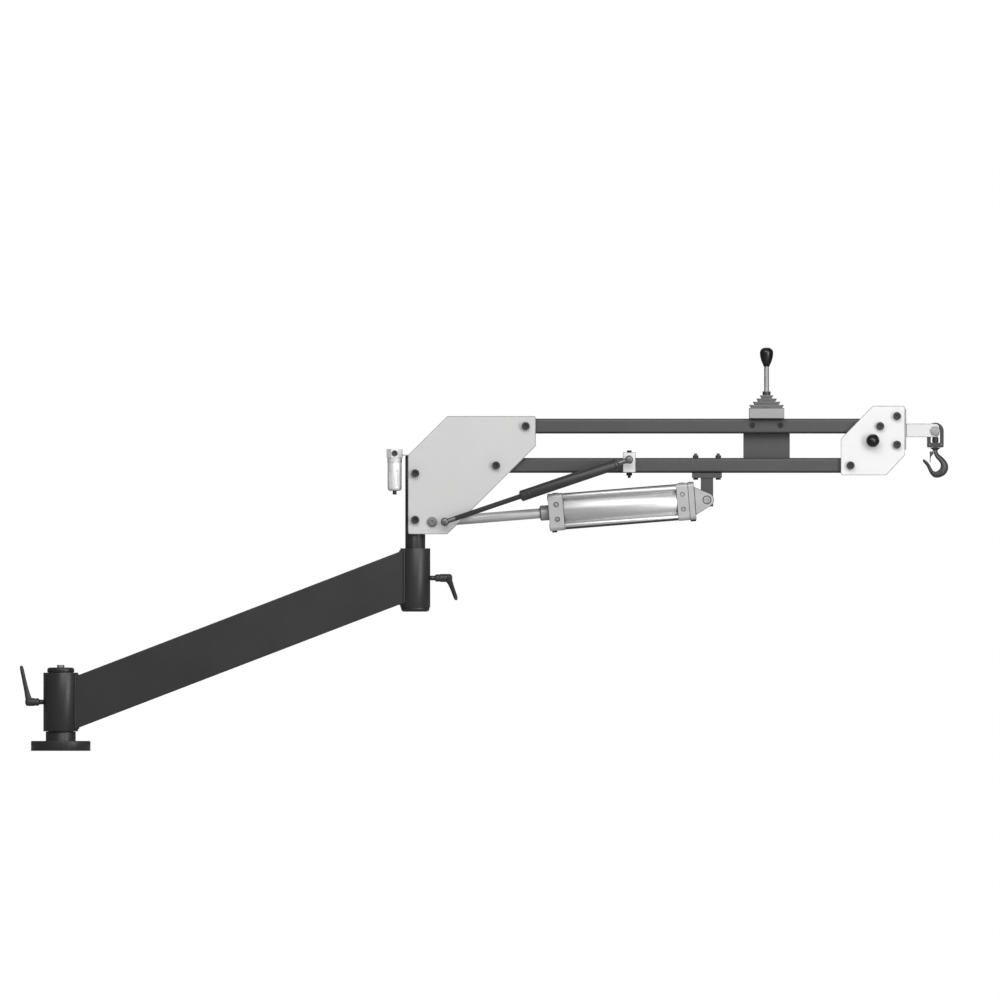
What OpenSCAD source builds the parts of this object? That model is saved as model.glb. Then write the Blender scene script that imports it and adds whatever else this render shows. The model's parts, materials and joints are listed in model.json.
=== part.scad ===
// Column-mounted load manipulator: a swivelling beam, a mast, a parallelogram arm balanced by an
// air cylinder and a gas spring, and a level head with a swivel hook.
// Millimetres. X points along the arm, Y away from the viewer, Z up.
// The origin is the centre of the flange's underside.

/* [Base] */
// Diameter of the floor flange
flange_d = 119; // [110:1:150]
// Thickness of the floor flange
flange_h = 20; // [14:1:30]
// Diameter of the collar that carries the lower hub
collar_d = 60; // [57:1:64]
// Height of the collar above the flange
collar_h = 18.8; // [12:0.2:30]
// Diameter of the bolt circle
bolt_circle_d = 90; // [84:1:94]
// Diameter of each bolt hole in the flange
bolt_hole_d = 11; // [7:0.5:13]
// Number of bolt holes in the flange
bolt_count = 4; // [3:1:8]
// Diameter of the fixed spindle
spindle_d = 50; // [44:1:50]
// Depth that the spindle sits in the flange
spindle_seat = 26; // [20:1:32]

/* [Lower hub] */
// Diameter of the lower hub sleeve
hub_d = 69.6; // [68:0.2:76]
// Length of the lower hub sleeve
hub_h = 117.5; // [100:0.5:150]
// Diameter of the retaining cap on the spindle
cap_d = 54; // [53:0.5:60]
// Thickness of the retaining cap
cap_h = 10; // [6:0.5:16]
// Bevel of the retaining cap's upper edge
cap_bevel = 3; // [1:0.5:4]
// Width across the flats of the cap bolt
cap_bolt_af = 13; // [10:1:19]
// Height of the cap bolt's head
cap_bolt_h = 5.3; // [4:0.1:9]
// Height of the lower clamp's axis above the hub's lower end
low_clamp_rise = 58.7; // [42:0.1:76]

/* [Beam] */
// Distance from the spindle's axis to the mast's axis
reach = 709; // [560:1:860]
// Width of the beam along Y
beam_w = 40; // [30:1:44]
// Wall of the hollow beam
beam_wall = 5; // [3:0.5:8]
// Height left free on the lower hub below the beam
beam_margin_in_low = 6.8; // [4:0.1:14]
// Height left free on the lower hub above the beam
beam_margin_in_top = 5.1; // [4:0.1:14]
// Height left free on the upper hub below the beam
beam_margin_out_low = 6.4; // [4:0.1:14]
// Height left free on the upper hub above the beam
beam_margin_out_top = 6; // [4:0.1:14]

/* [Upper hub] */
// Height of the upper hub's lower end
upper_hub_z = 286.8; // [240:0.2:340]
// Length of the upper hub sleeve
upper_hub_h = 118.4; // [100:0.2:126]
// Diameter of the upper hub sleeve
upper_hub_d = 60; // [56:1:64]
// Diameter of the cap under the upper hub
hub_cap_d = 57; // [50:1:60]
// Thickness of the cap under the upper hub
hub_cap_h = 8.4; // [7:0.2:14]
// Radius of the lower edge of that cap
hub_cap_round = 6; // [2:0.5:6]
// Height of the upper clamp's axis above the hub's lower end
high_clamp_rise = 59; // [42:0.5:78]

/* [Hub bushes] */
// Wall of each plain bush
bush_wall = 3; // [2:0.5:4]
// Length of each plain bush
bush_l = 30; // [20:1:36]
// Thickness of the thrust washer under the mast
thrust_t = 3; // [2:0.5:5]

/* [Clamping levers] */
// Diameter of the threaded clamp stud
stud_d = 8; // [6:0.5:9]
// Diameter of the ferrule between hub and lever
ferrule_d = 9.6; // [9.2:0.2:12]
// Length of the lower lever's ferrule
ferrule_l = 7.6; // [4:0.2:12]
// Length of the upper lever's ferrule
high_ferrule_l = 9.4; // [4:0.2:12]
// Diameter of the lever's hub
lever_hub_d = 16.2; // [13:0.2:18]
// Length of the lower lever's hub
lever_hub_l = 28.6; // [20:0.2:34]
// Length of the upper lever's hub
high_lever_hub_l = 34.6; // [24:0.2:40]
// Length of the lever's arm from the stud's axis
lever_arm_l = 74.5; // [50:0.5:76]
// Outward lean of the lever's arm in degrees
lever_lean = 12.6; // [0:0.2:25]
// Diameter of the arm at its root
lever_root_d = 12; // [8:0.5:14]
// Diameter of the arm at its tip
lever_tip_d = 7.4; // [4:0.2:9]
// Turn of the upper lever about its own axis in degrees
high_lever_turn = 126; // [90:1:180]

/* [Mast] */
// Diameter of the mast
mast_d = 40; // [36:1:44]
// Height of the mast's top
mast_top_z = 590.6; // [580:0.2:620]
// Diameter of the threaded bolts
bolt_d = 10; // [8:1:10]
// Diameter of a socket bolt's head
bolt_head_d = 16; // [14:1:17]
// Height of a socket bolt's head
bolt_head_h = 10; // [6:1:12]
// Width across the flats of a nut
nut_af = 17; // [15:1:19]
// Height of a nut
nut_h = 8; // [5:1:10]
// Thickness of every side plate
plate_t = 8; // [6:0.5:10]
// Radius of a side plate's corners
plate_round = 4; // [2:0.5:6]
// Material around the plate's outer pivots
plate_edge = 20; // [15:0.5:22]
// Distance from the mast's axis to the plates' rear edge
plate_back = 14.5; // [12:0.5:18]
// Height of the plates' lower edge
plate_low_z = 433.4; // [425:0.2:440]
// Height of the plates' rear upper corner
plate_rear_z = 591.6; // [585:0.2:600]
// Length of the plates' lower edge
plate_foot = 78.8; // [74:0.2:84]
// Height of the plates' outer edge
plate_nose_h = 60; // [50:1:66]
// Height of the lower mast bolt
mast_bolt_low_z = 462.2; // [455:0.2:470]
// Height of the upper mast bolt
mast_bolt_high_z = 555.2; // [530:0.2:570]

/* [Parallelogram] */
// Distance from the mast's axis to the lower bar's pivot
low_pivot_x = 161.8; // [150:0.2:170]
// Height of the lower bar's pivot
low_pivot_z = 571; // [560:0.5:580]
// Distance from the lower bar's pivot to the upper bar's pivot along X
pivot_offset_x = 59.2; // [54:0.2:64]
// Height of the upper bar's pivot above the lower bar's pivot
pivot_offset_z = 78.6; // [76:0.2:84]
// Length of each bar between its pivots
link_l = 709; // [640:1:780]
// Outer width and height of each bar
bar_w = 30; // [26:1:30]
// Wall of each hollow bar
bar_wall = 3; // [2:0.5:4]
// Radius of each bar's edges
bar_round = 5; // [2:0.5:6]
// Length of each bar beyond its pivots
bar_over = 14; // [11:0.5:14]
// Side play of each bar between the plates
side_play = 0.3; // [0.2:0.1:0.6]
// Diameter of the flange on each pivot bush
pivot_flange_d = 25; // [20:1:28]
// Outer diameter of each pivot bush in the bar
pivot_bush_d = 16; // [14:0.5:18]

/* [Air cylinder] */
// Distance from the mast's axis to the rod's pivot
rod_pivot_x = 33.7; // [33:0.1:36]
// Height of the rod's pivot
rod_pivot_z = 457.8; // [452:0.2:464]
// Distance from the lower bar's pivot to the cylinder's pivot along X
cylinder_pivot_x = 421.6; // [410:0.2:440]
// Depth of the cylinder's pivot below the lower bar's axis
cylinder_pivot_drop = 69; // [66:0.5:76]
// Bore of the cylinder
bore_d = 63; // [58:1:63]
// Diameter of the piston rod
rod_d = 20; // [16:1:22]
// Width and height of the end caps
cap_w = 75; // [74:0.5:78]
// Radius of the end caps' corners
cap_round = 7; // [3:0.5:9]
// Length of the front cap
front_cap_l = 30; // [24:1:36]
// Length of the rear cap
rear_cap_l = 23; // [18:1:30]
// Length of the profile tube
tube_l = 228; // [216:1:236]
// Diameter of the tube's round middle
tube_d = 72; // [70:0.5:73]
// Distance from the axis to each corner lobe's centre along Y and Z
lobe_pos = 29; // [28:0.2:30]
// Diameter of each corner lobe
lobe_d = 14.6; // [12:0.2:16]
// Diameter of the nose around the rod
nose_d = 30; // [26:1:40]
// Length of the nose
nose_l = 16.5; // [10:0.5:20]
// Distance from the rear cap to the cylinder's pivot
clevis_reach = 36.4; // [34:0.2:42]
// Thickness of the clevis's foot
clevis_foot = 12.5; // [9:0.5:14]
// Diameter of the clevis pin
clevis_pin_d = 16; // [12:1:18]
// Width of the gap in the clevis
clevis_gap = 40; // [32:1:44]
// Outer width of the clevis
clevis_w = 70; // [62:1:74]
// Radius of the clevis around its pin
clevis_r = 14; // [12:0.5:16]
// Distance from the rod's pivot to the piston at rest
piston_at = 364; // [350:1:372]
// Length of the piston
piston_l = 22; // [14:1:26]
// Radius of the rod's eye
rod_eye_r = 10; // [9:0.5:10.5]
// Width of the rod's eye along Y
rod_eye_w = 24; // [18:1:30]
// Depth of the relief in the mast in front of the rod's eye
relief_depth = 10; // [9:0.5:11]

/* [Cylinder bracket] */
// Length of the bracket's plate
bracket_l = 59.8; // [54:0.2:66]
// Thickness of the bracket's plate
bracket_t = 10.2; // [7:0.2:13]
// Width of the bracket's plate along Y
bracket_w = 46; // [36:1:60]
// Width of the bracket's lug along X
lug_l = 25; // [22:0.5:28]
// Length of the lug below the pin
lug_below = 13.2; // [11:0.2:15]
// Distance between the bracket's bolts
bracket_bolt_pitch = 45.2; // [42:0.2:50]
// Diameter of the bracket's bolts
small_bolt_d = 6; // [5:0.5:6.5]

/* [Gas spring] */
// Distance from the mast's axis to the lower ball
gas_low_x = 58.9; // [54:0.1:62]
// Height of the lower ball
gas_low_z = 457.8; // [450:0.2:464]
// Distance from the lower bar's pivot to the upper ball along X
gas_high_x = 266.2; // [256:0.2:280]
// Height of the upper ball above the lower bar's axis
gas_high_rise = 11.6; // [8:0.2:13]
// Distance from the arm's middle to the gas spring's axis along Y
gas_side = 51; // [50:0.5:58]
// Diameter of the gas spring's tube
gas_tube_d = 22; // [20:0.5:23]
// Bore of the gas spring's tube
gas_bore_d = 16.6; // [16:0.2:17.6]
// Diameter of the gas spring's rod
gas_rod_d = 10; // [8:0.5:10.2]
// Distance from the tube's closed end to the upper ball
gas_neck = 24.6; // [20:0.2:30]
// Length of the gas spring's tube
gas_tube_l = 204; // [180:1:230]
// Length of the rod inside the tube
gas_engaged = 66; // [50:1:90]
// Diameter of each ball socket
socket_d = 15; // [14:0.5:18]
// Diameter of each ball
ball_d = 10; // [8:0.5:10.5]
// Diameter of the neck behind each socket
socket_neck_d = 9; // [8:0.5:11]
// Length of the clamp block along the bar
block_l = 25.6; // [20:0.2:32]
// Height of the clamp block above the bar
block_above = 11.2; // [8:0.2:11.4]
// Thickness of the clamp block beside the bar
block_side = 14; // [10:0.5:16]

/* [Air filter] */
// Distance from the mast's axis to the filter's axis
filter_x = 41.2; // [38:0.2:48]
// Width of the filter head
filter_head_w = 32.5; // [30:0.5:34]
// Height of the filter head
filter_head_h = 17.6; // [14:0.2:22]
// Height of the filter head's lower face
filter_head_z = 586.2; // [580:0.2:590]
// Diameter of the filter's guard
guard_d = 28.4; // [26:0.2:30]
// Length of the guard with its collar
guard_l = 66.2; // [50:0.2:80]
// Length of the drain valve
drain_l = 7.4; // [5:0.2:10]
// Thickness of the filter's bracket
filter_bracket_t = 2; // [1.5:0.5:3]

/* [Joystick] */
// Distance from the mast's axis to the joystick's axis
joystick_x = 702.6; // [660:0.2:720]
// Width of the joystick's housing
housing_w = 70.8; // [66:0.2:76]
// Height of the joystick's housing
housing_h = 21.2; // [16:0.2:26]
// Width of the valve plate behind the bars
valve_plate_w = 93; // [86:1:100]
// Depth of the valve plate below the upper bar's axis
valve_plate_drop = 69.5; // [66:0.5:74]
// Thickness of the valve plate
valve_plate_t = 5; // [3:0.5:6]
// Distance between the valve plate's screws
valve_screw_pitch = 56.4; // [40:0.2:70]
// Width of the lowest bellows fold
bellows_w = 69; // [60:1:70]
// Width of the highest bellows fold
bellows_top_w = 27; // [24:1:30]
// Height of the bellows
bellows_h = 25.4; // [20:0.2:30]
// Number of bellows folds
bellows_folds = 4; // [3:1:6]
// Diameter of the joystick's stem
stem_d = 10; // [8:0.5:11]
// Length of the visible stem above its collar
stem_l = 49.8; // [36:0.2:60]
// Diameter of the collar on the bellows
stem_collar_d = 16; // [14:0.5:18]
// Height of the collar on the bellows
stem_collar_h = 8; // [5:0.5:10]
// Diameter of the egg-shaped knob
knob_d = 26.5; // [22:0.5:32]
// Height of the egg-shaped knob
knob_h = 37.6; // [30:0.2:44]

/* [Head] */
// Distance from the lower bar's outer pivot to the head plates' lower left corner
head_left = 19.7; // [16:0.1:22]
// Distance from the upper bar's outer pivot to the head plates' right edge
head_right = 49.5; // [46:0.5:54]
// Height of the head plates' top above the upper pivot
head_top = 40.3; // [30:0.1:46]
// Depth of the head plates' bottom below the lower pivot
head_low = 19.5; // [17:0.1:24]
// Height of the head plates' left edge
head_left_h = 72.6; // [66:0.2:78]
// Width of the head plates' top edge
head_top_l = 64.6; // [58:0.2:70]
// Size of the bevel at the head plates' lower right corner
head_bevel_x = 37.2; // [30:0.2:42]
// Height of that bevel
head_bevel_z = 40.2; // [32:0.2:46]
// Thickness of the head block along X
block_x = 27.9; // [24:0.1:29]
// Height of the head block
block_h = 80.6; // [76:0.2:86]
// Distance between the head block's bolts
block_bolt_pitch = 57.2; // [50:0.2:62]
// Distance that the head block stands proud of the plates
block_proud = 2.4; // [1:0.2:4]
// Diameter of the round guide knob
guide_knob_d = 26; // [20:1:30]
// Height of the boom
boom_h = 27; // [24:0.5:32]
// Width of the boom along Y
boom_w = 30; // [28:1:36]
// Length of the boom from the block to the hook bolt
boom_l = 58.3; // [54:0.1:66]
// Length of the boom beyond the hook bolt
boom_over = 8; // [7.6:0.1:10]
// Radius of the corners at the boom's end
boom_round = 7.5; // [4:0.5:8]

/* [Hook] */
// Diameter of the bush that carries the bow
bow_bush_d = 18; // [16:1:20]
// Thickness of the bow's strap
bow_t = 7.7; // [6:0.1:9]
// Width of the bow along Y
bow_w = 14; // [12:0.5:16]
// Height of the bow from the bolt to its lower face
bow_drop = 33; // [32:0.2:38]
// Thickness of the bow's bridge
bridge_t = 9.6; // [7:0.2:11]
// Diameter of the hook's shank
shank_d = 9; // [8:0.2:10]
// Diameter of the hook's nut
hook_nut_d = 12.7; // [12:0.1:14]
// Radius of the hook's throat
throat_r = 11.8; // [10:0.2:14]
// Depth from the bow's lower face to the throat's centre
throat_drop = 36; // [34:0.5:42]
// Thickness of the hook's thickest section
hook_t = 14.6; // [12:0.2:16]
// Width of the latch strip
latch_w = 14; // [13.4:0.2:16]
// Thickness of the latch strip
latch_t = 1.6; // [1:0.1:2]
// Depth of the latch strip below its pin
latch_l = 21; // [18:0.5:22]

/* [Fits] */
// Radial clearance of a turning or sliding fit
turn_fit = 0.05; // [0.02:0.01:0.09]
// Gap between faces that turn past each other
face_gap = 0.3; // [0.2:0.1:0.6]
// Radial clearance of a bolt in its hole
bolt_fit = 0.1; // [0.05:0.05:0.2]

/* [Hidden] */
$fn = 64;

// Heights of the base and the lower hub
collar_top_z = flange_h + collar_h;
hub_z = collar_top_z + face_gap;
hub_top_z = hub_z + hub_h;
spindle_top_z = hub_top_z + face_gap;
low_clamp_z = hub_z + low_clamp_rise;
// Heights of the upper hub
upper_hub_top_z = upper_hub_z + upper_hub_h;
high_clamp_z = upper_hub_z + high_clamp_rise;
cap_spigot_h = 5;
thrust_z = upper_hub_z + cap_spigot_h;
mast_foot_z = thrust_z + thrust_t + face_gap;
// Radial room around the shaft between the two bushes of a hub
bore_relief = 0.6;
// Half the gap between the side plates, and the plates' outer face
inner_y = mast_d / 2;
outer_y = inner_y + plate_t;
washer_t = 2;
washer_d = nut_af * 1.18;
// The four pivots of the parallelogram
pivot_b = [reach + low_pivot_x, low_pivot_z];
pivot_a = pivot_b + [pivot_offset_x, pivot_offset_z];
pivot_c = pivot_a + [link_l, 0];
pivot_d = pivot_b + [link_l, 0];
bush_flange_t = inner_y - side_play - bar_w / 2;
// The cylinder's line from the rod's pivot to the clevis pin
rod_pivot = [reach + rod_pivot_x, rod_pivot_z];
clevis_pivot = [pivot_b[0] + cylinder_pivot_x, pivot_b[1] - cylinder_pivot_drop];
cylinder_l = norm(clevis_pivot - rod_pivot);
cylinder_angle = atan2(clevis_pivot[1] - rod_pivot[1], clevis_pivot[0] - rod_pivot[0]);
rear_face = cylinder_l - clevis_reach;
tube_end = rear_face - rear_cap_l;
tube_start = tube_end - tube_l;
front_face = tube_start - front_cap_l;
nose_face = front_face - nose_l;
// The gas spring's line from the lower ball to the upper ball
gas_low = [reach + gas_low_x, gas_low_z];
gas_high = [pivot_b[0] + gas_high_x, pivot_b[1] + gas_high_rise];
gas_l = norm(gas_high - gas_low);
gas_angle = atan2(gas_high[1] - gas_low[1], gas_high[0] - gas_low[0]);
gas_end = gas_l - gas_neck;
gas_mouth = gas_end - gas_tube_l;
gas_plug = 15;
gas_piston_l = 8;
gas_socket_l = socket_d + 7;
// The bars' faces
low_bar_top_z = low_pivot_z + bar_w / 2;
low_bar_low_z = low_pivot_z - bar_w / 2;
up_bar_top_z = pivot_a[1] + bar_w / 2;
// The joystick's axis, its heights and the tilting point inside the housing
joystick_at = reach + joystick_x;
housing_top_z = up_bar_top_z + housing_h;
bellows_top_z = housing_top_z + bellows_h;
stem_base_z = bellows_top_z + stem_collar_h;
knob_z = stem_base_z + stem_l;
tilt_z = housing_top_z - 6;
tilt_ball_d = stem_d + 4;
// The head block and the boom
block_right = pivot_c[0] + head_right + block_proud;
block_left = block_right - block_x;
block_mid_z = pivot_a[1] - 6.6;
block_bolt_x = block_left + 9.7;
boom_z = pivot_a[1] - 8.5;
hook_x = block_right + boom_l;
hook_bolt_z = boom_z - 1.2;
bow_r = bow_bush_d / 2 + turn_fit + bow_t;
bow_low_z = hook_bolt_z - bow_drop;
bridge_top_z = bow_low_z + bridge_t;
nut_top_z = hook_bolt_z - bow_bush_d / 2 - 1.1;
throat = [hook_x, bow_low_z - throat_drop];
latch_pin = [hook_x - 4, bow_low_z - 9];
filter_at = reach - filter_x;
guard_low_z = filter_head_z - guard_l;
slot_w = bow_w + 2 * face_gap;

// The unit vector along v
function unit(v) = v / norm(v);

// An outline whose corners are arcs of radius r, each drawn in a few steps
function rounded(p, r, steps = 4) = [
    for (i = [0:len(p) - 1])
        let (a = p[(i + len(p) - 1) % len(p)], b = p[i], c = p[(i + 1) % len(p)])
        let (u = unit(a - b), v = unit(c - b))
        let (half = acos(u * v) / 2)
        let (centre = b + unit(u + v) * r / sin(half))
        let (start = b + u * r / tan(half) - centre)
        let (turn = (cross(u, v) < 0 ? 1 : -1) * (180 - 2 * half))
        for (k = [0:steps])
            let (t = turn * k / steps)
            centre + [start[0] * cos(t) - start[1] * sin(t), start[0] * sin(t) + start[1] * cos(t)]
];

// A rectangle around the origin as an outline
function box_outline(w, h) = [[-w / 2, -h / 2], [w / 2, -h / 2], [w / 2, h / 2], [-w / 2, h / 2]];

// A round bar along X that starts at p
module along_x(p, d, l) translate(p) rotate([0, 90, 0]) cylinder(d = d, h = l);

// A round bar along Y that starts at height y above the point p = [x, z]
module along_y(p, d, y, l) translate([p[0], y, p[1]]) rotate([-90, 0, 0]) cylinder(d = d, h = l);

// An upright cylinder whose upper edge has a bevel, turned as one profile
module bevelled_cylinder(d, h, bevel) rotate_extrude()
    polygon([[0, 0], [d / 2, 0], [d / 2, h - bevel], [d / 2 - bevel, h], [0, h]]);

// A slab with an outline in X and Z, from y with thickness t
module slab(outline, y, t) translate([0, y + t, 0]) rotate([90, 0, 0]) linear_extrude(t) polygon(outline);

// A rounded bar along X with its middle at [0, 0] in Y and Z
module square_bar(w, h, l, r) rotate([90, 0, 90]) linear_extrude(l) polygon(rounded(box_outline(w, h), r));

// The cylinder's frame: X runs from the rod's pivot to the clevis pin
module on_cylinder() translate([rod_pivot[0], 0, rod_pivot[1]]) rotate([0, -cylinder_angle, 0]) children();

// The gas spring's frame: X runs from the lower ball to the upper ball
module on_gas_spring() translate([gas_low[0], -gas_side, gas_low[1]]) rotate([0, -gas_angle, 0]) children();

// A socket bolt through the near plate, the middle and the far plate, with washer and nut
module through_bolt(p) {
    difference() {
        union() {
            along_y(p, bolt_head_d, -outer_y - bolt_head_h, bolt_head_h);
            along_y(p, bolt_d, -outer_y, 2 * outer_y + washer_t + nut_h + 2);
        }
        translate([p[0], -outer_y - bolt_head_h - 1, p[1]]) rotate([-90, 0, 0])
            cylinder(d = bolt_head_d * 0.58, h = bolt_head_h / 2 + 1, $fn = 6);
    }
    difference() {
        union() {
            along_y(p, washer_d, outer_y, washer_t);
            translate([p[0], outer_y + washer_t, p[1]]) rotate([-90, 0, 0])
                cylinder(d = nut_af / cos(30), h = nut_h, $fn = 6);
        }
        along_y(p, bolt_d + 2 * turn_fit, outer_y - 1, washer_t + nut_h + 2);
    }
}

// A bolt hole through both side plates
module plate_hole(p) along_y(p, bolt_d + 2 * bolt_fit, -outer_y - 1, 2 * outer_y + 2);

module base_flange() color([0.33, 0.33, 0.34]) difference() {
    union() {
        bevelled_cylinder(flange_d, flange_h, 1);
        cylinder(d = collar_d, h = collar_top_z);
    }
    translate([0, 0, collar_top_z - spindle_seat])
        cylinder(d = spindle_d + 2 * turn_fit, h = spindle_seat + 1);
    for (i = [0:bolt_count - 1])
        rotate(45 + i * 360 / bolt_count) translate([bolt_circle_d / 2, 0, -1])
            cylinder(d = bolt_hole_d, h = flange_h + 2);
}

module base_post() color([0.62, 0.62, 0.63]) difference() {
    translate([0, 0, collar_top_z - spindle_seat])
        cylinder(d = spindle_d, h = spindle_top_z - collar_top_z + spindle_seat);
    translate([0, 0, spindle_top_z - 25]) cylinder(d = stud_d + 2 * turn_fit, h = 26);
}

module hub_cap() color([0.24, 0.24, 0.25]) difference() {
    translate([0, 0, spindle_top_z]) bevelled_cylinder(cap_d, cap_h, cap_bevel);
    translate([0, 0, spindle_top_z - 1]) cylinder(d = stud_d + 2 * bolt_fit, h = cap_h + 2);
}

module cap_bolt() color([0.72, 0.72, 0.7]) union() {
    translate([0, 0, spindle_top_z + cap_h]) cylinder(d = cap_bolt_af / cos(30), h = cap_bolt_h, $fn = 6);
    translate([0, 0, spindle_top_z - 22]) cylinder(d = stud_d, h = cap_h + 22.5);
}

module lower_hub() color([0.24, 0.24, 0.25]) difference() {
    translate([0, 0, hub_z]) cylinder(d = hub_d, h = hub_h);
    translate([0, 0, hub_z - 1]) cylinder(d = spindle_d + 2 * bore_relief, h = hub_h + 2);
    for (z = [hub_z - 1, hub_top_z - bush_l])
        translate([0, 0, z]) cylinder(d = spindle_d + 2 * bush_wall + 4 * turn_fit, h = bush_l + 1);
    along_x([-hub_d, 0, low_clamp_z], stud_d + 2 * turn_fit, hub_d);
}

// A plain bush with its bore around a shaft of diameter d
module plain_bush(x, z, d) translate([x, 0, z]) difference() {
    cylinder(d = d + 2 * bush_wall + 2 * turn_fit, h = bush_l);
    translate([0, 0, -1]) cylinder(d = d + 2 * turn_fit, h = bush_l + 2);
}

module hub_bushes() color([0.72, 0.55, 0.3]) {
    plain_bush(0, hub_z, spindle_d);
    plain_bush(0, hub_top_z - bush_l, spindle_d);
    plain_bush(reach, upper_hub_z + cap_spigot_h + thrust_t, mast_d);
    plain_bush(reach, upper_hub_top_z - bush_l, mast_d);
    translate([reach, 0, thrust_z]) cylinder(d = mast_d, h = thrust_t);
}

// The beam's lower and upper edge at a distance x from the spindle's axis
beam_x_in = hub_d / 2;
beam_x_out = reach - upper_hub_d / 2;
beam_low_in = hub_z + beam_margin_in_low;
beam_top_in = hub_top_z - beam_margin_in_top;
beam_low_out = upper_hub_z + beam_margin_out_low;
beam_top_out = upper_hub_top_z - beam_margin_out_top;
function on_line(x, za, zb) = za + (zb - za) * (x - beam_x_in) / (beam_x_out - beam_x_in);
function beam_outline(xa, xb, inset) = [
    [xa, on_line(xa, beam_low_in, beam_low_out) + inset],
    [xb, on_line(xb, beam_low_in, beam_low_out) + inset],
    [xb, on_line(xb, beam_top_in, beam_top_out) - inset],
    [xa, on_line(xa, beam_top_in, beam_top_out) - inset]
];

module arm_beam() color([0.24, 0.24, 0.25]) difference() {
    slab(beam_outline(beam_x_in / 2, reach - upper_hub_d / 4, 0), -beam_w / 2, beam_w);
    slab(
        beam_outline(beam_x_in + beam_wall, beam_x_out - beam_wall, beam_wall),
        beam_wall - beam_w / 2, beam_w - 2 * beam_wall
    );
    translate([0, 0, hub_z - 1]) cylinder(d = hub_d, h = hub_h + 2);
    translate([reach, 0, upper_hub_z - 1]) cylinder(d = upper_hub_d, h = upper_hub_h + 2);
}

module upper_hub() color([0.24, 0.24, 0.25]) difference() {
    translate([reach, 0, upper_hub_z]) cylinder(d = upper_hub_d, h = upper_hub_h);
    translate([reach, 0, upper_hub_z - 1]) cylinder(d = mast_d + 2 * bore_relief, h = upper_hub_h + 2);
    translate([reach, 0, upper_hub_z - 1])
        cylinder(d = mast_d + 2 * bush_wall + 4 * turn_fit, h = cap_spigot_h + thrust_t + bush_l + 1);
    translate([reach, 0, upper_hub_top_z - bush_l])
        cylinder(d = mast_d + 2 * bush_wall + 4 * turn_fit, h = bush_l + 1);
    along_x([reach, 0, high_clamp_z], stud_d + 2 * turn_fit, upper_hub_d);
}

module upper_hub_cap() color([0.24, 0.24, 0.25]) translate([reach, 0, upper_hub_z - hub_cap_h]) {
    rotate_extrude() difference() {
        union() {
            translate([hub_cap_d / 2 - hub_cap_round, hub_cap_round]) circle(hub_cap_round);
            square([hub_cap_d / 2 - hub_cap_round, hub_cap_h]);
            translate([0, hub_cap_round]) square([hub_cap_d / 2, hub_cap_h - hub_cap_round]);
        }
        translate([-hub_cap_round, 0]) square([hub_cap_round, hub_cap_h]);
        translate([0, hub_cap_h]) square([hub_cap_d, hub_cap_round]);
    }
    translate([0, 0, hub_cap_h]) cylinder(d = mast_d + 2 * bush_wall, h = cap_spigot_h);
}

// A clamping lever whose stud runs along +X from the hub's surface, with its arm up
module clamp_lever(ferrule, l) {
    root_x = ferrule + l - lever_root_d / 2 - 2;
    difference() {
        union() {
            translate([ferrule + face_gap, 0, 0]) rotate([0, 90, 0])
                bevelled_cylinder(lever_hub_d, l, 2);
            hull() {
                translate([root_x, 0, 0]) sphere(d = lever_root_d, $fn = 24);
                translate([root_x, 0, 0]) rotate([0, lever_lean, 0])
                    translate([0, 0, lever_arm_l - lever_tip_d / 2]) sphere(d = lever_tip_d, $fn = 24);
            }
        }
        along_x([0, 0, 0], stud_d + 2 * turn_fit, ferrule + l - 6);
    }
}

// The stud and ferrule of a clamping lever, whose tip reaches depth below the hub's surface
module clamp_stud(depth, ferrule, l) {
    along_x([-depth, 0, 0], stud_d, depth + ferrule + l - 8);
    along_x([face_gap, 0, 0], ferrule_d, ferrule);
}

module place_low_lever() translate([-hub_d / 2, 0, low_clamp_z]) mirror([1, 0, 0]) children();
module place_high_lever() translate([reach + upper_hub_d / 2, 0, high_clamp_z])
    rotate([high_lever_turn, 0, 0]) children();

module lower_lever() color([0.2, 0.2, 0.21]) place_low_lever() clamp_lever(ferrule_l, lever_hub_l);
module lower_lever_stud() color([0.35, 0.35, 0.36]) place_low_lever()
    clamp_stud((hub_d - spindle_d) / 2 - 2 * face_gap, ferrule_l, lever_hub_l);
module upper_lever() color([0.2, 0.2, 0.21]) place_high_lever()
    clamp_lever(high_ferrule_l, high_lever_hub_l);
module upper_lever_stud() color([0.35, 0.35, 0.36]) place_high_lever()
    clamp_stud((upper_hub_d - mast_d) / 2 - 2 * face_gap, high_ferrule_l, high_lever_hub_l);

module mast_post() color([0.2, 0.2, 0.21]) difference() {
    translate([reach, 0, mast_foot_z]) bevelled_cylinder(mast_d, mast_top_z - mast_foot_z, 1);
    for (z = [mast_bolt_low_z, mast_bolt_high_z]) plate_hole([reach, z]);
    // Relief for the rod's eye
    translate([reach + mast_d / 2 - relief_depth, -mast_d, rod_pivot_z - 2 * rod_eye_r])
        cube([mast_d, 2 * mast_d, 3.6 * rod_eye_r]);
    translate([reach, 0, mast_top_z - 12]) cylinder(d = small_bolt_d + 2 * turn_fit, h = 13);
}

plate_points = [
    [reach - plate_back, plate_low_z],
    [reach - plate_back + plate_foot, plate_low_z],
    [pivot_a[0] + plate_edge, pivot_a[1] + plate_edge - plate_nose_h],
    [pivot_a[0] + plate_edge, pivot_a[1] + plate_edge],
    [reach - plate_back + plate_foot, pivot_a[1] + plate_edge],
    [reach - plate_back, plate_rear_z]
];

module side_plate(y) difference() {
    slab(rounded(plate_points, plate_round), y, plate_t);
    for (p = [pivot_a, pivot_b, [reach, mast_bolt_low_z], [reach, mast_bolt_high_z], rod_pivot])
        plate_hole(p);
}

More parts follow.
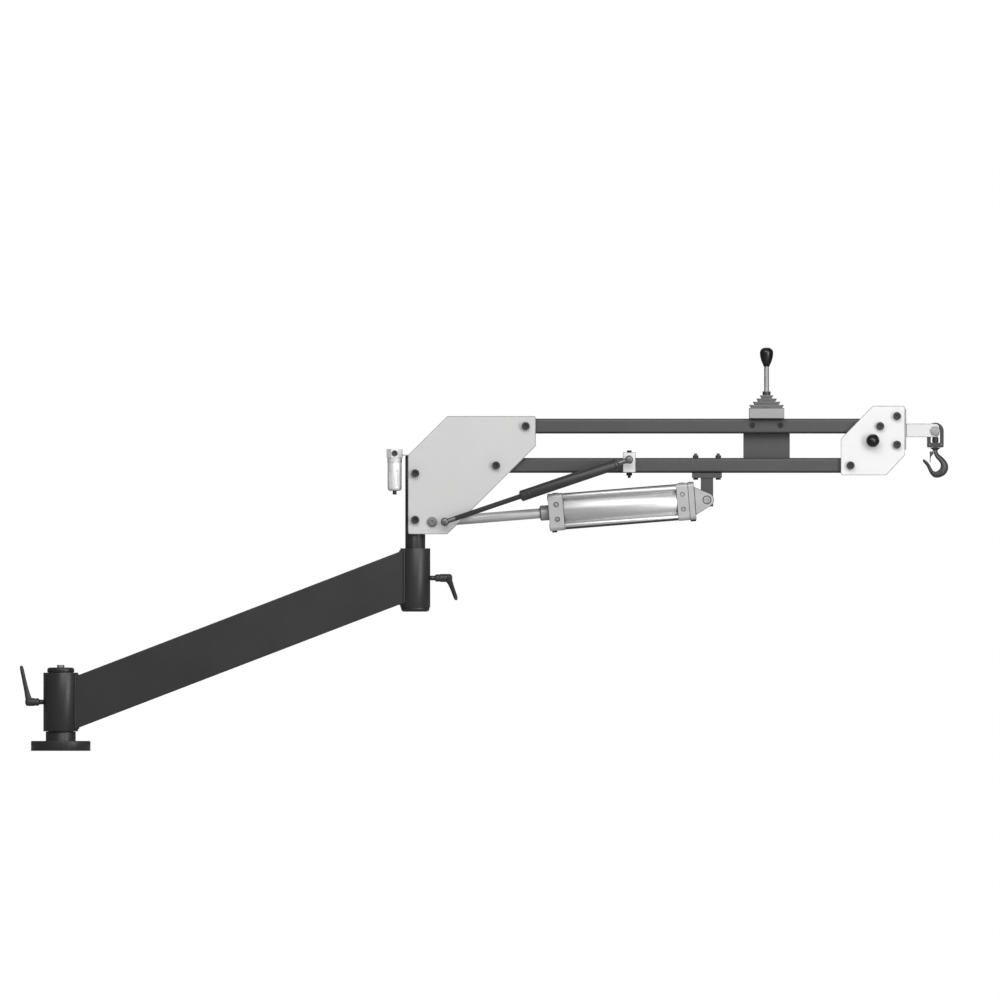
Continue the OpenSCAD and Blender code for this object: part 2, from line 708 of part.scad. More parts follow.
module near_side_plate() color([0.8, 0.8, 0.8]) difference() {
    side_plate(-outer_y);
    along_y(gas_low, stud_d + 2 * bolt_fit, -outer_y - 1, plate_t + 2);
}
module far_side_plate() color([0.8, 0.8, 0.8]) side_plate(inner_y);

module plate_bolts() color([0.28, 0.28, 0.29])
    for (p = [pivot_a, pivot_b, [reach, mast_bolt_low_z], [reach, mast_bolt_high_z]]) through_bolt(p);

// A flanged screw that fills the plate's hole and ends flush with the plate's inner face
module rod_pin_screw() {
    along_y(rod_pivot, bolt_d, -outer_y, plate_t);
    along_y(rod_pivot, 20.6, -outer_y - 2.5, 2.5);
    difference() {
        along_y(rod_pivot, 14, -outer_y - 6.5, 4);
        translate([rod_pivot[0], -outer_y - 7, rod_pivot[1]]) rotate([-90, 0, 0])
            cylinder(d = 6.9, h = 3, $fn = 6);
    }
}

module rod_pin_screws() color([0.6, 0.6, 0.6]) {
    rod_pin_screw();
    mirror([0, 1, 0]) rod_pin_screw();
}

// A ball stud along Y whose thread ends at y = root and whose ball stands at y = -gas_side
module ball_stud(p, root, shoulder) {
    along_y(p, stud_d, shoulder, root - shoulder);
    along_y(p, stud_d + 4, shoulder - 3, 3);
    along_y(p, ball_d * 0.6, -gas_side, gas_side + shoulder - 3);
    translate([p[0], -gas_side, p[1]]) sphere(d = ball_d);
}

module gas_spring_lower_stud() color([0.6, 0.6, 0.6]) ball_stud(gas_low, -inner_y, -outer_y);

module filter_bracket() color([0.7, 0.7, 0.7]) {
    difference() {
        translate([filter_at + 11, -mast_d / 4, mast_top_z])
            cube([filter_x + mast_d / 4 - 11, mast_d / 2, filter_bracket_t]);
        translate([reach, 0, mast_top_z - 1])
            cylinder(d = small_bolt_d + 2 * bolt_fit, h = filter_bracket_t + 2);
    }
    translate([reach, 0, mast_top_z - 10]) cylinder(d = small_bolt_d, h = 10 + filter_bracket_t);
}

module filter_head() color([0.85, 0.85, 0.84]) difference() {
    union() {
        translate([filter_at, 0, filter_head_z]) linear_extrude(filter_head_h)
            polygon([
                for (i = [0:7]) filter_head_w / 2 / cos(22.5) * [cos(22.5 + 45 * i), sin(22.5 + 45 * i)]
            ]);
        translate([filter_at, 0, filter_head_z - 9.4]) cylinder(d = guard_d + 1, h = 9.4);
        along_y([filter_at, filter_head_z + filter_head_h / 2], 12, -filter_head_w / 2 - 1, 4);
        along_y([filter_at, filter_head_z + filter_head_h / 2], 12, filter_head_w / 2 - 3, 4);
    }
    along_y([filter_at, filter_head_z + filter_head_h / 2], 8, -filter_head_w / 2 - 2, 8);
    along_y([filter_at, filter_head_z + filter_head_h / 2], 8, filter_head_w / 2 - 6, 8);
    translate([filter_at + 10, -mast_d / 4 - 0.5, mast_top_z - bolt_fit])
        cube([filter_head_w, mast_d / 2 + 1, filter_bracket_t + 2 * bolt_fit]);
    translate([filter_at, 0, filter_head_z - 10]) cylinder(d = guard_d - 6, h = 14);
}

module filter_bowl() color([0.9, 0.9, 0.88]) translate([filter_at, 0, guard_low_z + 2.4]) {
    cylinder(d1 = guard_d - 12, d2 = guard_d - 4.4, h = 4);
    translate([0, 0, 4]) cylinder(d = guard_d - 4.4, h = guard_l - 9.4 - 7);
    translate([0, 0, guard_l - 9.4 - 3]) cylinder(d = guard_d - 6.4, h = 8);
}

module filter_guard() color([0.82, 0.82, 0.82]) difference() {
    translate([filter_at, 0, guard_low_z]) rotate_extrude() polygon([
        [4.4, 0], [guard_d / 2 - 5, 0], [guard_d / 2 - 1.5, 1.5], [guard_d / 2, 5],
        [guard_d / 2, guard_l - 9.4], [guard_d / 2 - 2, guard_l - 9.4], [guard_d / 2 - 2, 5.8],
        [guard_d / 2 - 5.4, 2], [4.4, 2]
    ]);
    for (i = [0:5])
        translate([filter_at, 0, guard_low_z + 10]) rotate(i * 60 + 50)
            translate([0, -2, 0]) cube([guard_d, 4, 30.6]);
}

module filter_drain() color([0.25, 0.25, 0.25]) translate([filter_at, 0, guard_low_z - drain_l]) {
    cylinder(d = 8, h = drain_l + 2.3);
    cylinder(d = 5, h = 1);
}

// The flanged bushes of one bar pivot, one from each side
module pivot_bushes(p) for (side = [0, 1]) mirror([0, side, 0]) difference() {
    union() {
        along_y(p, pivot_flange_d, bar_w / 2, bush_flange_t);
        along_y(p, pivot_bush_d, 1, bar_w / 2 - 1);
    }
    along_y(p, bolt_d + 2 * turn_fit, 0, inner_y);
}

// A hollow bar between two pivots at height z, its cavity closed at both ends
module pivot_bar(xa, xb, z) difference() {
    cavity_w = bar_w - 2 * bar_wall;
    translate([xa - bar_over, 0, z]) square_bar(bar_w, bar_w, xb - xa + 2 * bar_over, bar_round);
    translate([xa + pivot_bush_d, 0, z])
        square_bar(cavity_w, cavity_w, xb - xa - 2 * pivot_bush_d, bar_round - bar_wall + 1);
    for (x = [xa, xb]) along_y([x, z], pivot_bush_d + 2 * turn_fit, -bar_w, 2 * bar_w);
}

module lower_bar() color([0.36, 0.36, 0.37]) difference() {
    pivot_bar(pivot_b[0], pivot_d[0], low_pivot_z);
    for (s = [-1, 1])
        translate([clevis_pivot[0] + s * bracket_bolt_pitch / 2, 0, low_bar_low_z - 1])
            cylinder(d = small_bolt_d + 2 * bolt_fit, h = bar_w + 2);
    translate([gas_high[0], 0, low_bar_low_z - 1]) cylinder(d = small_bolt_d + 2 * bolt_fit, h = bar_w + 2);
}

module lower_bar_bushes() color([0.7, 0.6, 0.4]) {
    pivot_bushes(pivot_b);
    pivot_bushes(pivot_d);
}

block_cheek_y = -bar_w / 2 - block_side;

module clamp_block() color([0.88, 0.88, 0.88]) difference() {
    slab(
        rounded([
            [gas_high[0] - block_l / 2, low_bar_low_z + 0.8],
            [gas_high[0] + block_l / 2, low_bar_low_z + 0.8],
            [gas_high[0] + block_l / 2, low_bar_top_z + block_above],
            [gas_high[0] - block_l / 2, low_bar_top_z + block_above]
        ], 1.5),
        block_cheek_y, bar_w + block_side
    );
    translate([gas_high[0] - block_l, -bar_w / 2, low_bar_low_z - 1])
        cube([2 * block_l, bar_w + 1, bar_w + 1]);
    translate([gas_high[0], 0, low_bar_top_z - 1])
        cylinder(d = small_bolt_d + 2 * bolt_fit, h = block_above + 2);
    along_y(gas_high, stud_d + 2 * turn_fit, block_cheek_y - 1, 11);
}

// A long bolt through the lower bar with its head on the clamp block and its nut below the bar
module clamp_block_screw() color([0.6, 0.6, 0.6]) {
    translate([gas_high[0], 0, low_bar_top_z + block_above]) cylinder(d = 9.4, h = 3.8);
    translate([gas_high[0], 0, low_bar_low_z - 10])
        cylinder(d = small_bolt_d, h = bar_w + block_above + 10);
    difference() {
        translate([gas_high[0], 0, low_bar_low_z - 5.5]) cylinder(d = 11.5, h = 5.5, $fn = 6);
        translate([gas_high[0], 0, low_bar_low_z - 6]) cylinder(d = small_bolt_d + 2 * turn_fit, h = 7);
    }
}

module gas_spring_upper_stud() color([0.6, 0.6, 0.6])
    ball_stud(gas_high, block_cheek_y + 9, block_cheek_y);

module cylinder_bracket() color([0.3, 0.3, 0.31]) difference() {
    union() {
        translate([clevis_pivot[0] - bracket_l / 2, -bracket_w / 2, low_bar_low_z - bracket_t])
            cube([bracket_l, bracket_w, bracket_t]);
        translate([
            clevis_pivot[0] - lug_l / 2, face_gap - clevis_gap / 2, clevis_pivot[1] - lug_below
        ]) cube([
            lug_l, clevis_gap - 2 * face_gap,
            low_bar_low_z - bracket_t - clevis_pivot[1] + lug_below
        ]);
    }
    along_y(clevis_pivot, clevis_pin_d + 2 * turn_fit, -clevis_w, 2 * clevis_w);
    for (s = [-1, 1])
        translate([clevis_pivot[0] + s * bracket_bolt_pitch / 2, 0, low_bar_low_z - bracket_t - 1])
            cylinder(d = small_bolt_d + 2 * bolt_fit, h = bracket_t + 2);
}

module bracket_bolts() color([0.3, 0.3, 0.31])
    for (s = [-1, 1]) translate([clevis_pivot[0] + s * bracket_bolt_pitch / 2, 0, 0]) {
        translate([0, 0, low_bar_low_z - bracket_t - 3.6]) cylinder(d = 10, h = 3.6);
        translate([0, 0, low_bar_low_z - bracket_t]) cylinder(d = small_bolt_d, h = bracket_t + bar_w + 9);
        difference() {
            translate([0, 0, low_bar_top_z]) cylinder(d = 11.5, h = 5.2, $fn = 6);
            translate([0, 0, low_bar_top_z - 1]) cylinder(d = small_bolt_d + 2 * turn_fit, h = 8);
        }
    }

module clevis_pin() color([0.62, 0.62, 0.63]) along_y(clevis_pivot, clevis_pin_d, -clevis_w / 2, clevis_w);

// The two screws through the upper bar into the valve plate
function valve_screw(s) = [joystick_at + s * valve_screw_pitch / 2, pivot_a[1] + 2];

module upper_bar() color([0.36, 0.36, 0.37]) difference() {
    pivot_bar(pivot_a[0], pivot_c[0], pivot_a[1]);
    for (s = [-1, 1]) along_y(valve_screw(s), small_bolt_d + 2 * bolt_fit, -bar_w, 2 * bar_w);
}

module upper_bar_bushes() color([0.7, 0.6, 0.4]) {
    pivot_bushes(pivot_a);
    pivot_bushes(pivot_c);
}

module valve_plate() color([0.37, 0.37, 0.38]) difference() {
    translate([joystick_at - valve_plate_w / 2, bar_w / 2, pivot_a[1] - valve_plate_drop])
        cube([valve_plate_w, valve_plate_t, valve_plate_drop + bar_w / 2]);
    for (s = [-1, 1]) along_y(valve_screw(s), small_bolt_d + 2 * turn_fit, 0, bar_w);
}

module valve_screws() color([0.25, 0.25, 0.26])
    for (s = [-1, 1]) {
        along_y(valve_screw(s), 10, -bar_w / 2 - 4, 4);
        along_y(valve_screw(s), small_bolt_d, -bar_w / 2,
            bar_w + valve_plate_t);
    }

module joystick_housing() color([0.65, 0.65, 0.65]) difference() {
    translate([joystick_at, 0, up_bar_top_z]) linear_extrude(housing_h)
        polygon(rounded(box_outline(housing_w, housing_w), 3));
    // Socket for the stem's ball, with a wide mouth for the tilt
    translate([joystick_at, 0, tilt_z]) sphere(d = tilt_ball_d + 2 * turn_fit);
    translate([joystick_at, 0, tilt_z]) cylinder(d = tilt_ball_d + 2 * turn_fit, h = housing_h);
    translate([joystick_at, 0, tilt_z + 3]) cylinder(d = 2.6 * stem_d, h = housing_h);
}

fold_h = bellows_h / bellows_folds;

module joystick_bellows() color([0.45, 0.45, 0.45]) translate([joystick_at, 0, housing_top_z]) difference() {
    for (i = [0:bellows_folds - 1])
        let (w = bellows_w + (bellows_top_w - bellows_w) * i / (bellows_folds - 1))
            translate([0, 0, i * fold_h]) rotate(45)
                cylinder(d1 = (w - 5) * sqrt(2), d2 = w * sqrt(2), h = fold_h, $fn = 4);
    translate([0, 0, -1]) cylinder(d = 2 * stem_d, h = bellows_h - 2);
    cylinder(d = stem_d + 2 * face_gap, h = bellows_h + 1);
}

module joystick_stem() color([0.7, 0.7, 0.7]) translate([joystick_at, 0, 0]) {
    translate([0, 0, tilt_z]) cylinder(d = stem_d, h = knob_z - tilt_z + knob_h / 2);
    translate([0, 0, tilt_z]) sphere(d = tilt_ball_d);
    translate([0, 0, bellows_top_z + face_gap]) cylinder(d = stem_collar_d, h = stem_collar_h - face_gap);
}

// The egg's radius at a share t of its height: narrow below, widest at seven tenths
function egg_r(t) = knob_d / 2 * (t < 0.7 ? 0.5 + 0.5 * pow(sin(90 * t / 0.7), 0.85)
    : sqrt(1 - 0.9 * pow((t - 0.7) / 0.3, 2.4)));

module joystick_knob() color([0.08, 0.08, 0.08]) translate([joystick_at, 0, knob_z]) difference() {
    rotate_extrude() polygon(concat(
        [[0, 0]], [for (k = [0:16]) [egg_r(k / 16), knob_h * k / 16]], [[0, knob_h]]
    ));
    translate([0, 0, -1]) cylinder(d = stem_d + 2 * turn_fit, h = knob_h / 2 + 1.5);
}

module cylinder_barrel() color([0.8, 0.8, 0.82]) on_cylinder() difference() {
    translate([tube_start, 0, 0]) rotate([90, 0, 90]) linear_extrude(tube_l) union() {
        circle(d = tube_d);
        for (y = [-1, 1], z = [-1, 1]) translate([y * lobe_pos, z * lobe_pos]) circle(d = lobe_d);
    }
    along_x([tube_start - 1, 0, 0], bore_d, tube_l + 2);
}

// An end cap of length l that starts at x
module end_cap(x, l) translate([x, 0, 0]) square_bar(cap_w, cap_w, l, cap_round);

screw_recess_d = 9.5;

// Round recesses in the near and far faces of a cap at x
module cap_recesses(x) for (side = [-1, 1], z = [-14.8, 14.8])
    along_y([x, z], screw_recess_d, side * cap_w / 2 - 2, 4);

module front_cap() color([0.7, 0.7, 0.71]) on_cylinder() difference() {
    union() {
        end_cap(front_face, front_cap_l);
        along_x([nose_face, 0, 0], nose_d, nose_l + 1);
    }
    along_x([nose_face - 1, 0, 0], rod_d + 2 * turn_fit, nose_l + front_cap_l + 2);
    cap_recesses(front_face + 16);
    translate([front_face + 16, 0, cap_w / 2 - 6]) cylinder(d = 12 + 2 * turn_fit, h = 8);
}

module rear_cap() color([0.7, 0.7, 0.71]) on_cylinder() difference() {
    end_cap(tube_end, rear_cap_l);
    cap_recesses(tube_end + 11);
    translate([tube_end + 11, 0, cap_w / 2 - 6]) cylinder(d = 12 + 2 * turn_fit, h = 8);
}

clevis_root = clevis_r * 2;
foot_pad_t = 1;
foot_pad_w = 30;

module cylinder_clevis() color([0.74, 0.74, 0.74]) on_cylinder() difference() {
    union() {
        end_cap(rear_face, clevis_foot);
        for (y = [-clevis_w / 2, clevis_gap / 2]) {
            slab([
                for (a = [-62:4:62]) [cylinder_l, 0] + clevis_r * [cos(a), sin(a)],
                [rear_face + clevis_foot, clevis_root], [rear_face + clevis_foot, -clevis_root]
            ], y, (clevis_w - clevis_gap) / 2);
        }
    }
    along_y([cylinder_l, 0], clevis_pin_d + 2 * turn_fit, -clevis_w, 2 * clevis_w);
}

module cap_screws() color([0.6, 0.6, 0.6]) on_cylinder()
    for (x = [front_face + 16, tube_end + 11], z = [-14.8, 14.8], side = [-1, 1])
        along_y([x, z], screw_recess_d - 2.5, side * (cap_w / 2 - 1.3) - 0.7, 1.4);

module port_plugs() color([0.12, 0.12, 0.12]) on_cylinder() {
    for (x = [front_face + 16, tube_end + 11])
        translate([x, 0, cap_w / 2 - 6]) cylinder(d = 12, h = 7);
    for (z = [cap_w / 2, -cap_w / 2 - foot_pad_t])
        translate([rear_face + 0.5, -foot_pad_w / 2, z]) cube([clevis_foot - 1, foot_pad_w, foot_pad_t]);
}

module piston_rod() color([0.82, 0.82, 0.83]) on_cylinder() {
    along_x([rod_eye_r + 6, 0, 0], rod_d, piston_at - rod_eye_r - 6);
    along_x([piston_at, 0, 0], bore_d - 4 * turn_fit, piston_l);
}

module rod_end() color([0.42, 0.42, 0.43]) on_cylinder() {
    difference() {
        union() {
            along_y([0, 0], 2 * rod_eye_r, -rod_eye_w / 2, rod_eye_w);
            along_x([rod_eye_r / 2, 0, 0], 1.5 * rod_eye_r, rod_eye_r / 2 + 6);
        }
        along_y([0, 0], bolt_d + 2 * turn_fit, -rod_eye_w, 2 * rod_eye_w);
    }
    along_y([0, 0], bolt_d, face_gap - inner_y, 2 * inner_y - 2 * face_gap);
}

// A ball socket at x on the gas spring's axis, open towards the stud
module ball_socket(x) difference() {
    along_y([x, 0], socket_d, -ball_d / 2 - 2, ball_d + 3);
    translate([x, 0, 0]) sphere(d = ball_d + 2 * turn_fit);
    along_y([x, 0], ball_d * 0.85, 0, ball_d);
}

module gas_spring_tube() color([0.25, 0.25, 0.26]) on_gas_spring() {
    difference() {
        along_x([gas_mouth, 0, 0], gas_tube_d, gas_tube_l);
        along_x([gas_mouth - 1, 0, 0], gas_bore_d, gas_tube_l - gas_plug + 1);
    }
    difference() {
        along_x([gas_end, 0, 0], socket_neck_d, gas_neck);
        along_y([gas_l, 0], socket_d, -socket_d, 2 * socket_d);
    }
    ball_socket(gas_l);
}

module gas_spring_rod() color([0.35, 0.35, 0.36]) on_gas_spring() {
    difference() {
        along_x([0, 0, 0], socket_neck_d, gas_socket_l);
        along_y([0, 0], socket_d, -socket_d, 2 * socket_d);
    }
    along_x([gas_socket_l, 0, 0], gas_rod_d, gas_mouth + gas_engaged - gas_socket_l);
    along_x([gas_mouth + gas_engaged, 0, 0], gas_rod_d + 0.6, gas_piston_l);
    ball_socket(0);
}

head_points = [
    [pivot_d[0] - head_left, pivot_d[1] - head_low],
    [pivot_c[0] + head_right - head_bevel_x, pivot_d[1] - head_low],
    [pivot_c[0] + head_right, pivot_d[1] - head_low + head_bevel_z],
    [pivot_c[0] + head_right, pivot_c[1] + head_top],
    [pivot_c[0] + head_right - head_top_l, pivot_c[1] + head_top],
    [pivot_d[0] - head_left, pivot_d[1] - head_low + head_left_h]
];
block_bolts = [for (s = [-1, 1]) [block_bolt_x, block_mid_z - 1.9 + s * block_bolt_pitch / 2]];
guide_at = [pivot_c[0] - 14.8, pivot_c[1] - 29.1];

module head_plate(y) difference() {
    slab(rounded(head_points, plate_round), y, plate_t);
    for (p = concat([pivot_c, pivot_d], block_bolts)) plate_hole(p);
}

module near_head_plate() color([0.94, 0.94, 0.94]) difference() {
    head_plate(-outer_y);
    along_y(guide_at, stud_d + 2 * bolt_fit, -outer_y - 1, plate_t + 2);
}
module far_head_plate() color([0.94, 0.94, 0.94]) head_plate(inner_y);

module head_block() color([0.8, 0.8, 0.8]) difference() {
    translate([block_left, -inner_y, block_mid_z - block_h / 2]) cube([block_x, 2 * inner_y, block_h]);
    for (p = block_bolts) plate_hole(p);
}

// The boom's side, square at the block and rounded at its end
boom_outline = concat(
    [[block_right, boom_z + boom_h / 2], [block_right, boom_z - boom_h / 2]],
    [for (side = [-1, 1], k = [0:6])
        let (a = (side < 0 ? -90 : 0) + 15 * k)
        [hook_x + boom_over - boom_round, boom_z + side * (boom_h / 2 - boom_round)]
            + boom_round * [cos(a), sin(a)]]
);

module boom_fork() color([0.94, 0.94, 0.94]) difference() {
    slab(boom_outline, -boom_w / 2, boom_w);
    translate([block_right + 25, -slot_w / 2, boom_z - boom_h]) cube([boom_l, slot_w, 2 * boom_h]);
    along_y([hook_x, hook_bolt_z], bolt_d + 2 * bolt_fit, -boom_w, 2 * boom_w);
}

module head_bolts() color([0.28, 0.28, 0.29])
    for (p = concat([pivot_c, pivot_d], block_bolts)) through_bolt(p);

module guide_knob() color([0.1, 0.1, 0.1]) {
    along_y(guide_at, stud_d, -outer_y, plate_t);
    along_y(guide_at, 13, -outer_y - 8, 8);
    translate([guide_at[0], -outer_y - 5 - guide_knob_d / 2, guide_at[1]]) sphere(d = guide_knob_d);
}

hook_bolt_at = [hook_x, hook_bolt_z];

module hook_bolt() color([0.72, 0.72, 0.7]) {
    difference() {
        along_y(hook_bolt_at, bow_bush_d, -slot_w / 2, slot_w);
        along_y(hook_bolt_at, bolt_d + 2 * turn_fit, -slot_w, 2 * slot_w);
    }
    translate([hook_x, -boom_w / 2 - 6.4, hook_bolt_z]) rotate([-90, 0, 0])
        cylinder(d = nut_af / cos(30), h = 6.4, $fn = 6);
    along_y(hook_bolt_at, bolt_d, -boom_w / 2, boom_w + nut_h + 2);
    difference() {
        translate([hook_x, boom_w / 2, hook_bolt_z]) rotate([-90, 0, 0])
            cylinder(d = nut_af / cos(30), h = nut_h, $fn = 6);
        along_y(hook_bolt_at, bolt_d + 2 * turn_fit, boom_w / 2 - 1, nut_h + 2);
    }
}

module hook_bow() color([0.16, 0.16, 0.17]) difference() {
    union() {
        along_y(hook_bolt_at, 2 * bow_r, -bow_w / 2, bow_w);
        slab(rounded([
            [hook_x - bow_r, bow_low_z], [hook_x + bow_r, bow_low_z],
            [hook_x + bow_r, hook_bolt_z], [hook_x - bow_r, hook_bolt_z]
        ], 2.5), -bow_w / 2, bow_w);
        slab([
            [hook_x - bow_r, hook_bolt_z - 8], [hook_x + bow_r, hook_bolt_z - 8],
            [hook_x + bow_r, hook_bolt_z], [hook_x - bow_r, hook_bolt_z]
        ], -bow_w / 2, bow_w);
    }
    along_y(hook_bolt_at, bow_bush_d + 2 * turn_fit, -bow_w, 2 * bow_w);
    translate([hook_x - bow_r + bow_t, -bow_w, bridge_top_z])
        cube([2 * (bow_r - bow_t), 2 * bow_w, hook_bolt_z - bridge_top_z]);
    translate([hook_x, 0, bow_low_z - 1]) cylinder(d = shank_d + 2 * turn_fit, h = bridge_t + 2);
}

// Middle and diameter of each round section along the hook, from the neck to the tip
hook_sections = [
    [[0, throat_drop - 5], shank_d],
    [[5.2, throat_drop / 2 + 1], shank_d + 2],
    [[throat_r + hook_t / 2 - 1, 2], hook_t],
    [[throat_r - 1.4, -throat_r - 1.6], hook_t - 0.6],
    [[-0.6, -throat_r - 5.8], hook_t - 3],
    [[2 - throat_r, -throat_r + 1.8], hook_t - 5.6],
    [[-throat_r - 2.4, 0.4], hook_t - 8],
    [[-throat_r - 9.6, 10.6], hook_t - 10.4]
];

module hook() color([0.16, 0.16, 0.17]) {
    for (i = [0:len(hook_sections) - 2]) hull() for (s = [hook_sections[i], hook_sections[i + 1]])
        translate([throat[0] + s[0][0], 0, throat[1] + s[0][1]])
            scale([1, 0.86, 1]) sphere(d = s[1], $fn = 20);
    translate([hook_x, 0, bow_low_z - 6]) cylinder(d = shank_d, h = nut_top_z - bow_low_z + 6);
    translate([hook_x, 0, bridge_top_z + face_gap])
        cylinder(d = hook_nut_d, h = nut_top_z - bridge_top_z - face_gap);
    along_y(latch_pin, 3, -latch_w / 2 - 1, latch_w + 2);
}

module latch() color([0.3, 0.3, 0.3]) difference() {
    union() {
        for (y = [-latch_w / 2, latch_w / 2 - latch_t])
            slab([
                for (a = [0:20:180]) latch_pin + 3 * [cos(a), sin(a)],
                latch_pin + [-7.2, 1.5], latch_pin + [-7.2, -latch_l / 2],
                latch_pin + [-5.4, -latch_l / 2]
            ], y, latch_t);
        translate([latch_pin[0] - 7.2, -latch_w / 2, latch_pin[1] - latch_l])
            cube([latch_t, latch_w, latch_l + 1.5]);
    }
    along_y(latch_pin, 3 + 2 * turn_fit, -latch_w, 2 * latch_w);
}

base_flange();
base_post();
hub_cap();
cap_bolt();
lower_hub();
hub_bushes();
arm_beam();
upper_hub();
upper_hub_cap();
lower_lever();
lower_lever_stud();
upper_lever();
upper_lever_stud();
mast_post();
near_side_plate();
far_side_plate();
plate_bolts();
rod_pin_screws();
gas_spring_lower_stud();
filter_bracket();
filter_head();
filter_bowl();
filter_guard();
filter_drain();
lower_bar();
lower_bar_bushes();
clamp_block();
clamp_block_screw();
gas_spring_upper_stud();
cylinder_bracket();
bracket_bolts();
clevis_pin();
upper_bar();
upper_bar_bushes();
valve_plate();
valve_screws();
joystick_housing();
joystick_bellows();
joystick_stem();
joystick_knob();
cylinder_barrel();
front_cap();
rear_cap();
cylinder_clevis();
cap_screws();
port_plugs();
piston_rod();
rod_end();
gas_spring_tube();
gas_spring_rod();
near_head_plate();
far_head_plate();
head_block();
boom_fork();
head_bolts();
guide_knob();
hook_bolt();
hook_bow();
hook();
latch();
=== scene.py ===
import json
import math

import bmesh
import bpy
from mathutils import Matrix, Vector


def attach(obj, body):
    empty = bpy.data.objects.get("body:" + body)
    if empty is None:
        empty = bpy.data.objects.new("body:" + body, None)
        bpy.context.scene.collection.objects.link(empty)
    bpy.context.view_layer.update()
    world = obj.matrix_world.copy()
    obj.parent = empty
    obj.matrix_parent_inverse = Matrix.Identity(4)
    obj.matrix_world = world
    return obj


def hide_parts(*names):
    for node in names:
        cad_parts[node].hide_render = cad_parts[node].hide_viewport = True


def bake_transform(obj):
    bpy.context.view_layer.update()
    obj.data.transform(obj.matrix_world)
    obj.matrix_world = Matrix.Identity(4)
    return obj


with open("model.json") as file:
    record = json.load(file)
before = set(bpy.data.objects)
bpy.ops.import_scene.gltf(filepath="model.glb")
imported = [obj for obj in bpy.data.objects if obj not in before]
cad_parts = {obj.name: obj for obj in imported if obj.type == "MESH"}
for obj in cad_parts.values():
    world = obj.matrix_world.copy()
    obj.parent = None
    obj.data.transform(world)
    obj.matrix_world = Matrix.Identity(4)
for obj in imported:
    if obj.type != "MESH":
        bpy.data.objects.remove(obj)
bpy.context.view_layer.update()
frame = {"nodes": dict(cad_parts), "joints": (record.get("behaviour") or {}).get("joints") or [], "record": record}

MM = 0.001
UP = Vector((0, 0, 1))
ACROSS = Vector((0, 1, 0))
scene = bpy.context.scene
nodes = frame["nodes"]
slots = {p["node"]: p["material_slot"] for p in frame["record"]["subparts"]}
joints = {j["name"]: j for j in frame["joints"]}


def pivot(name):
    """A joint's place in millimetres."""
    return [round(v / MM, 3) for v in joints[name]["pos_m"]]


# Materials

# How much the fine grain counts beside the large blotches in colour and gloss
FINE_SHARE = 0.35
# The span of the noise in which colour and gloss change
NOISE_SPAN = (0.3, 0.7)
# The dot product of the rounded and the true normal, from no edge colour to the full edge colour
EDGE_SPAN = (0.995, 0.90)
# The height of the normal, from bare to dusty, and from no painted shade to full painted shade
DUST_SPAN = (0.6, 1.0)
UNDERSIDE_SHADE_SPAN = (-0.15, -0.65)
# The colour sockets of a Mix node, whose names stand for several sockets
MIX_BELOW, MIX_ABOVE, MIX_RESULT = 6, 7, 2


def grey(v):
    """A screen grey from 0 to 255 as a linear value."""
    c = v / 255
    return c / 12.92 if c <= 0.04045 else ((c + 0.055) / 1.055) ** 2.4


def tint(v, warm=0.0):
    """A slightly warm or cool colour of a screen grey."""
    g = grey(v)
    return (g * (1 + warm), g, g * (1 - warm), 1)


def scaled(c, k):
    """A colour made lighter or darker."""
    return tuple(min(1.0, x * k) for x in c[:3]) + (1,)


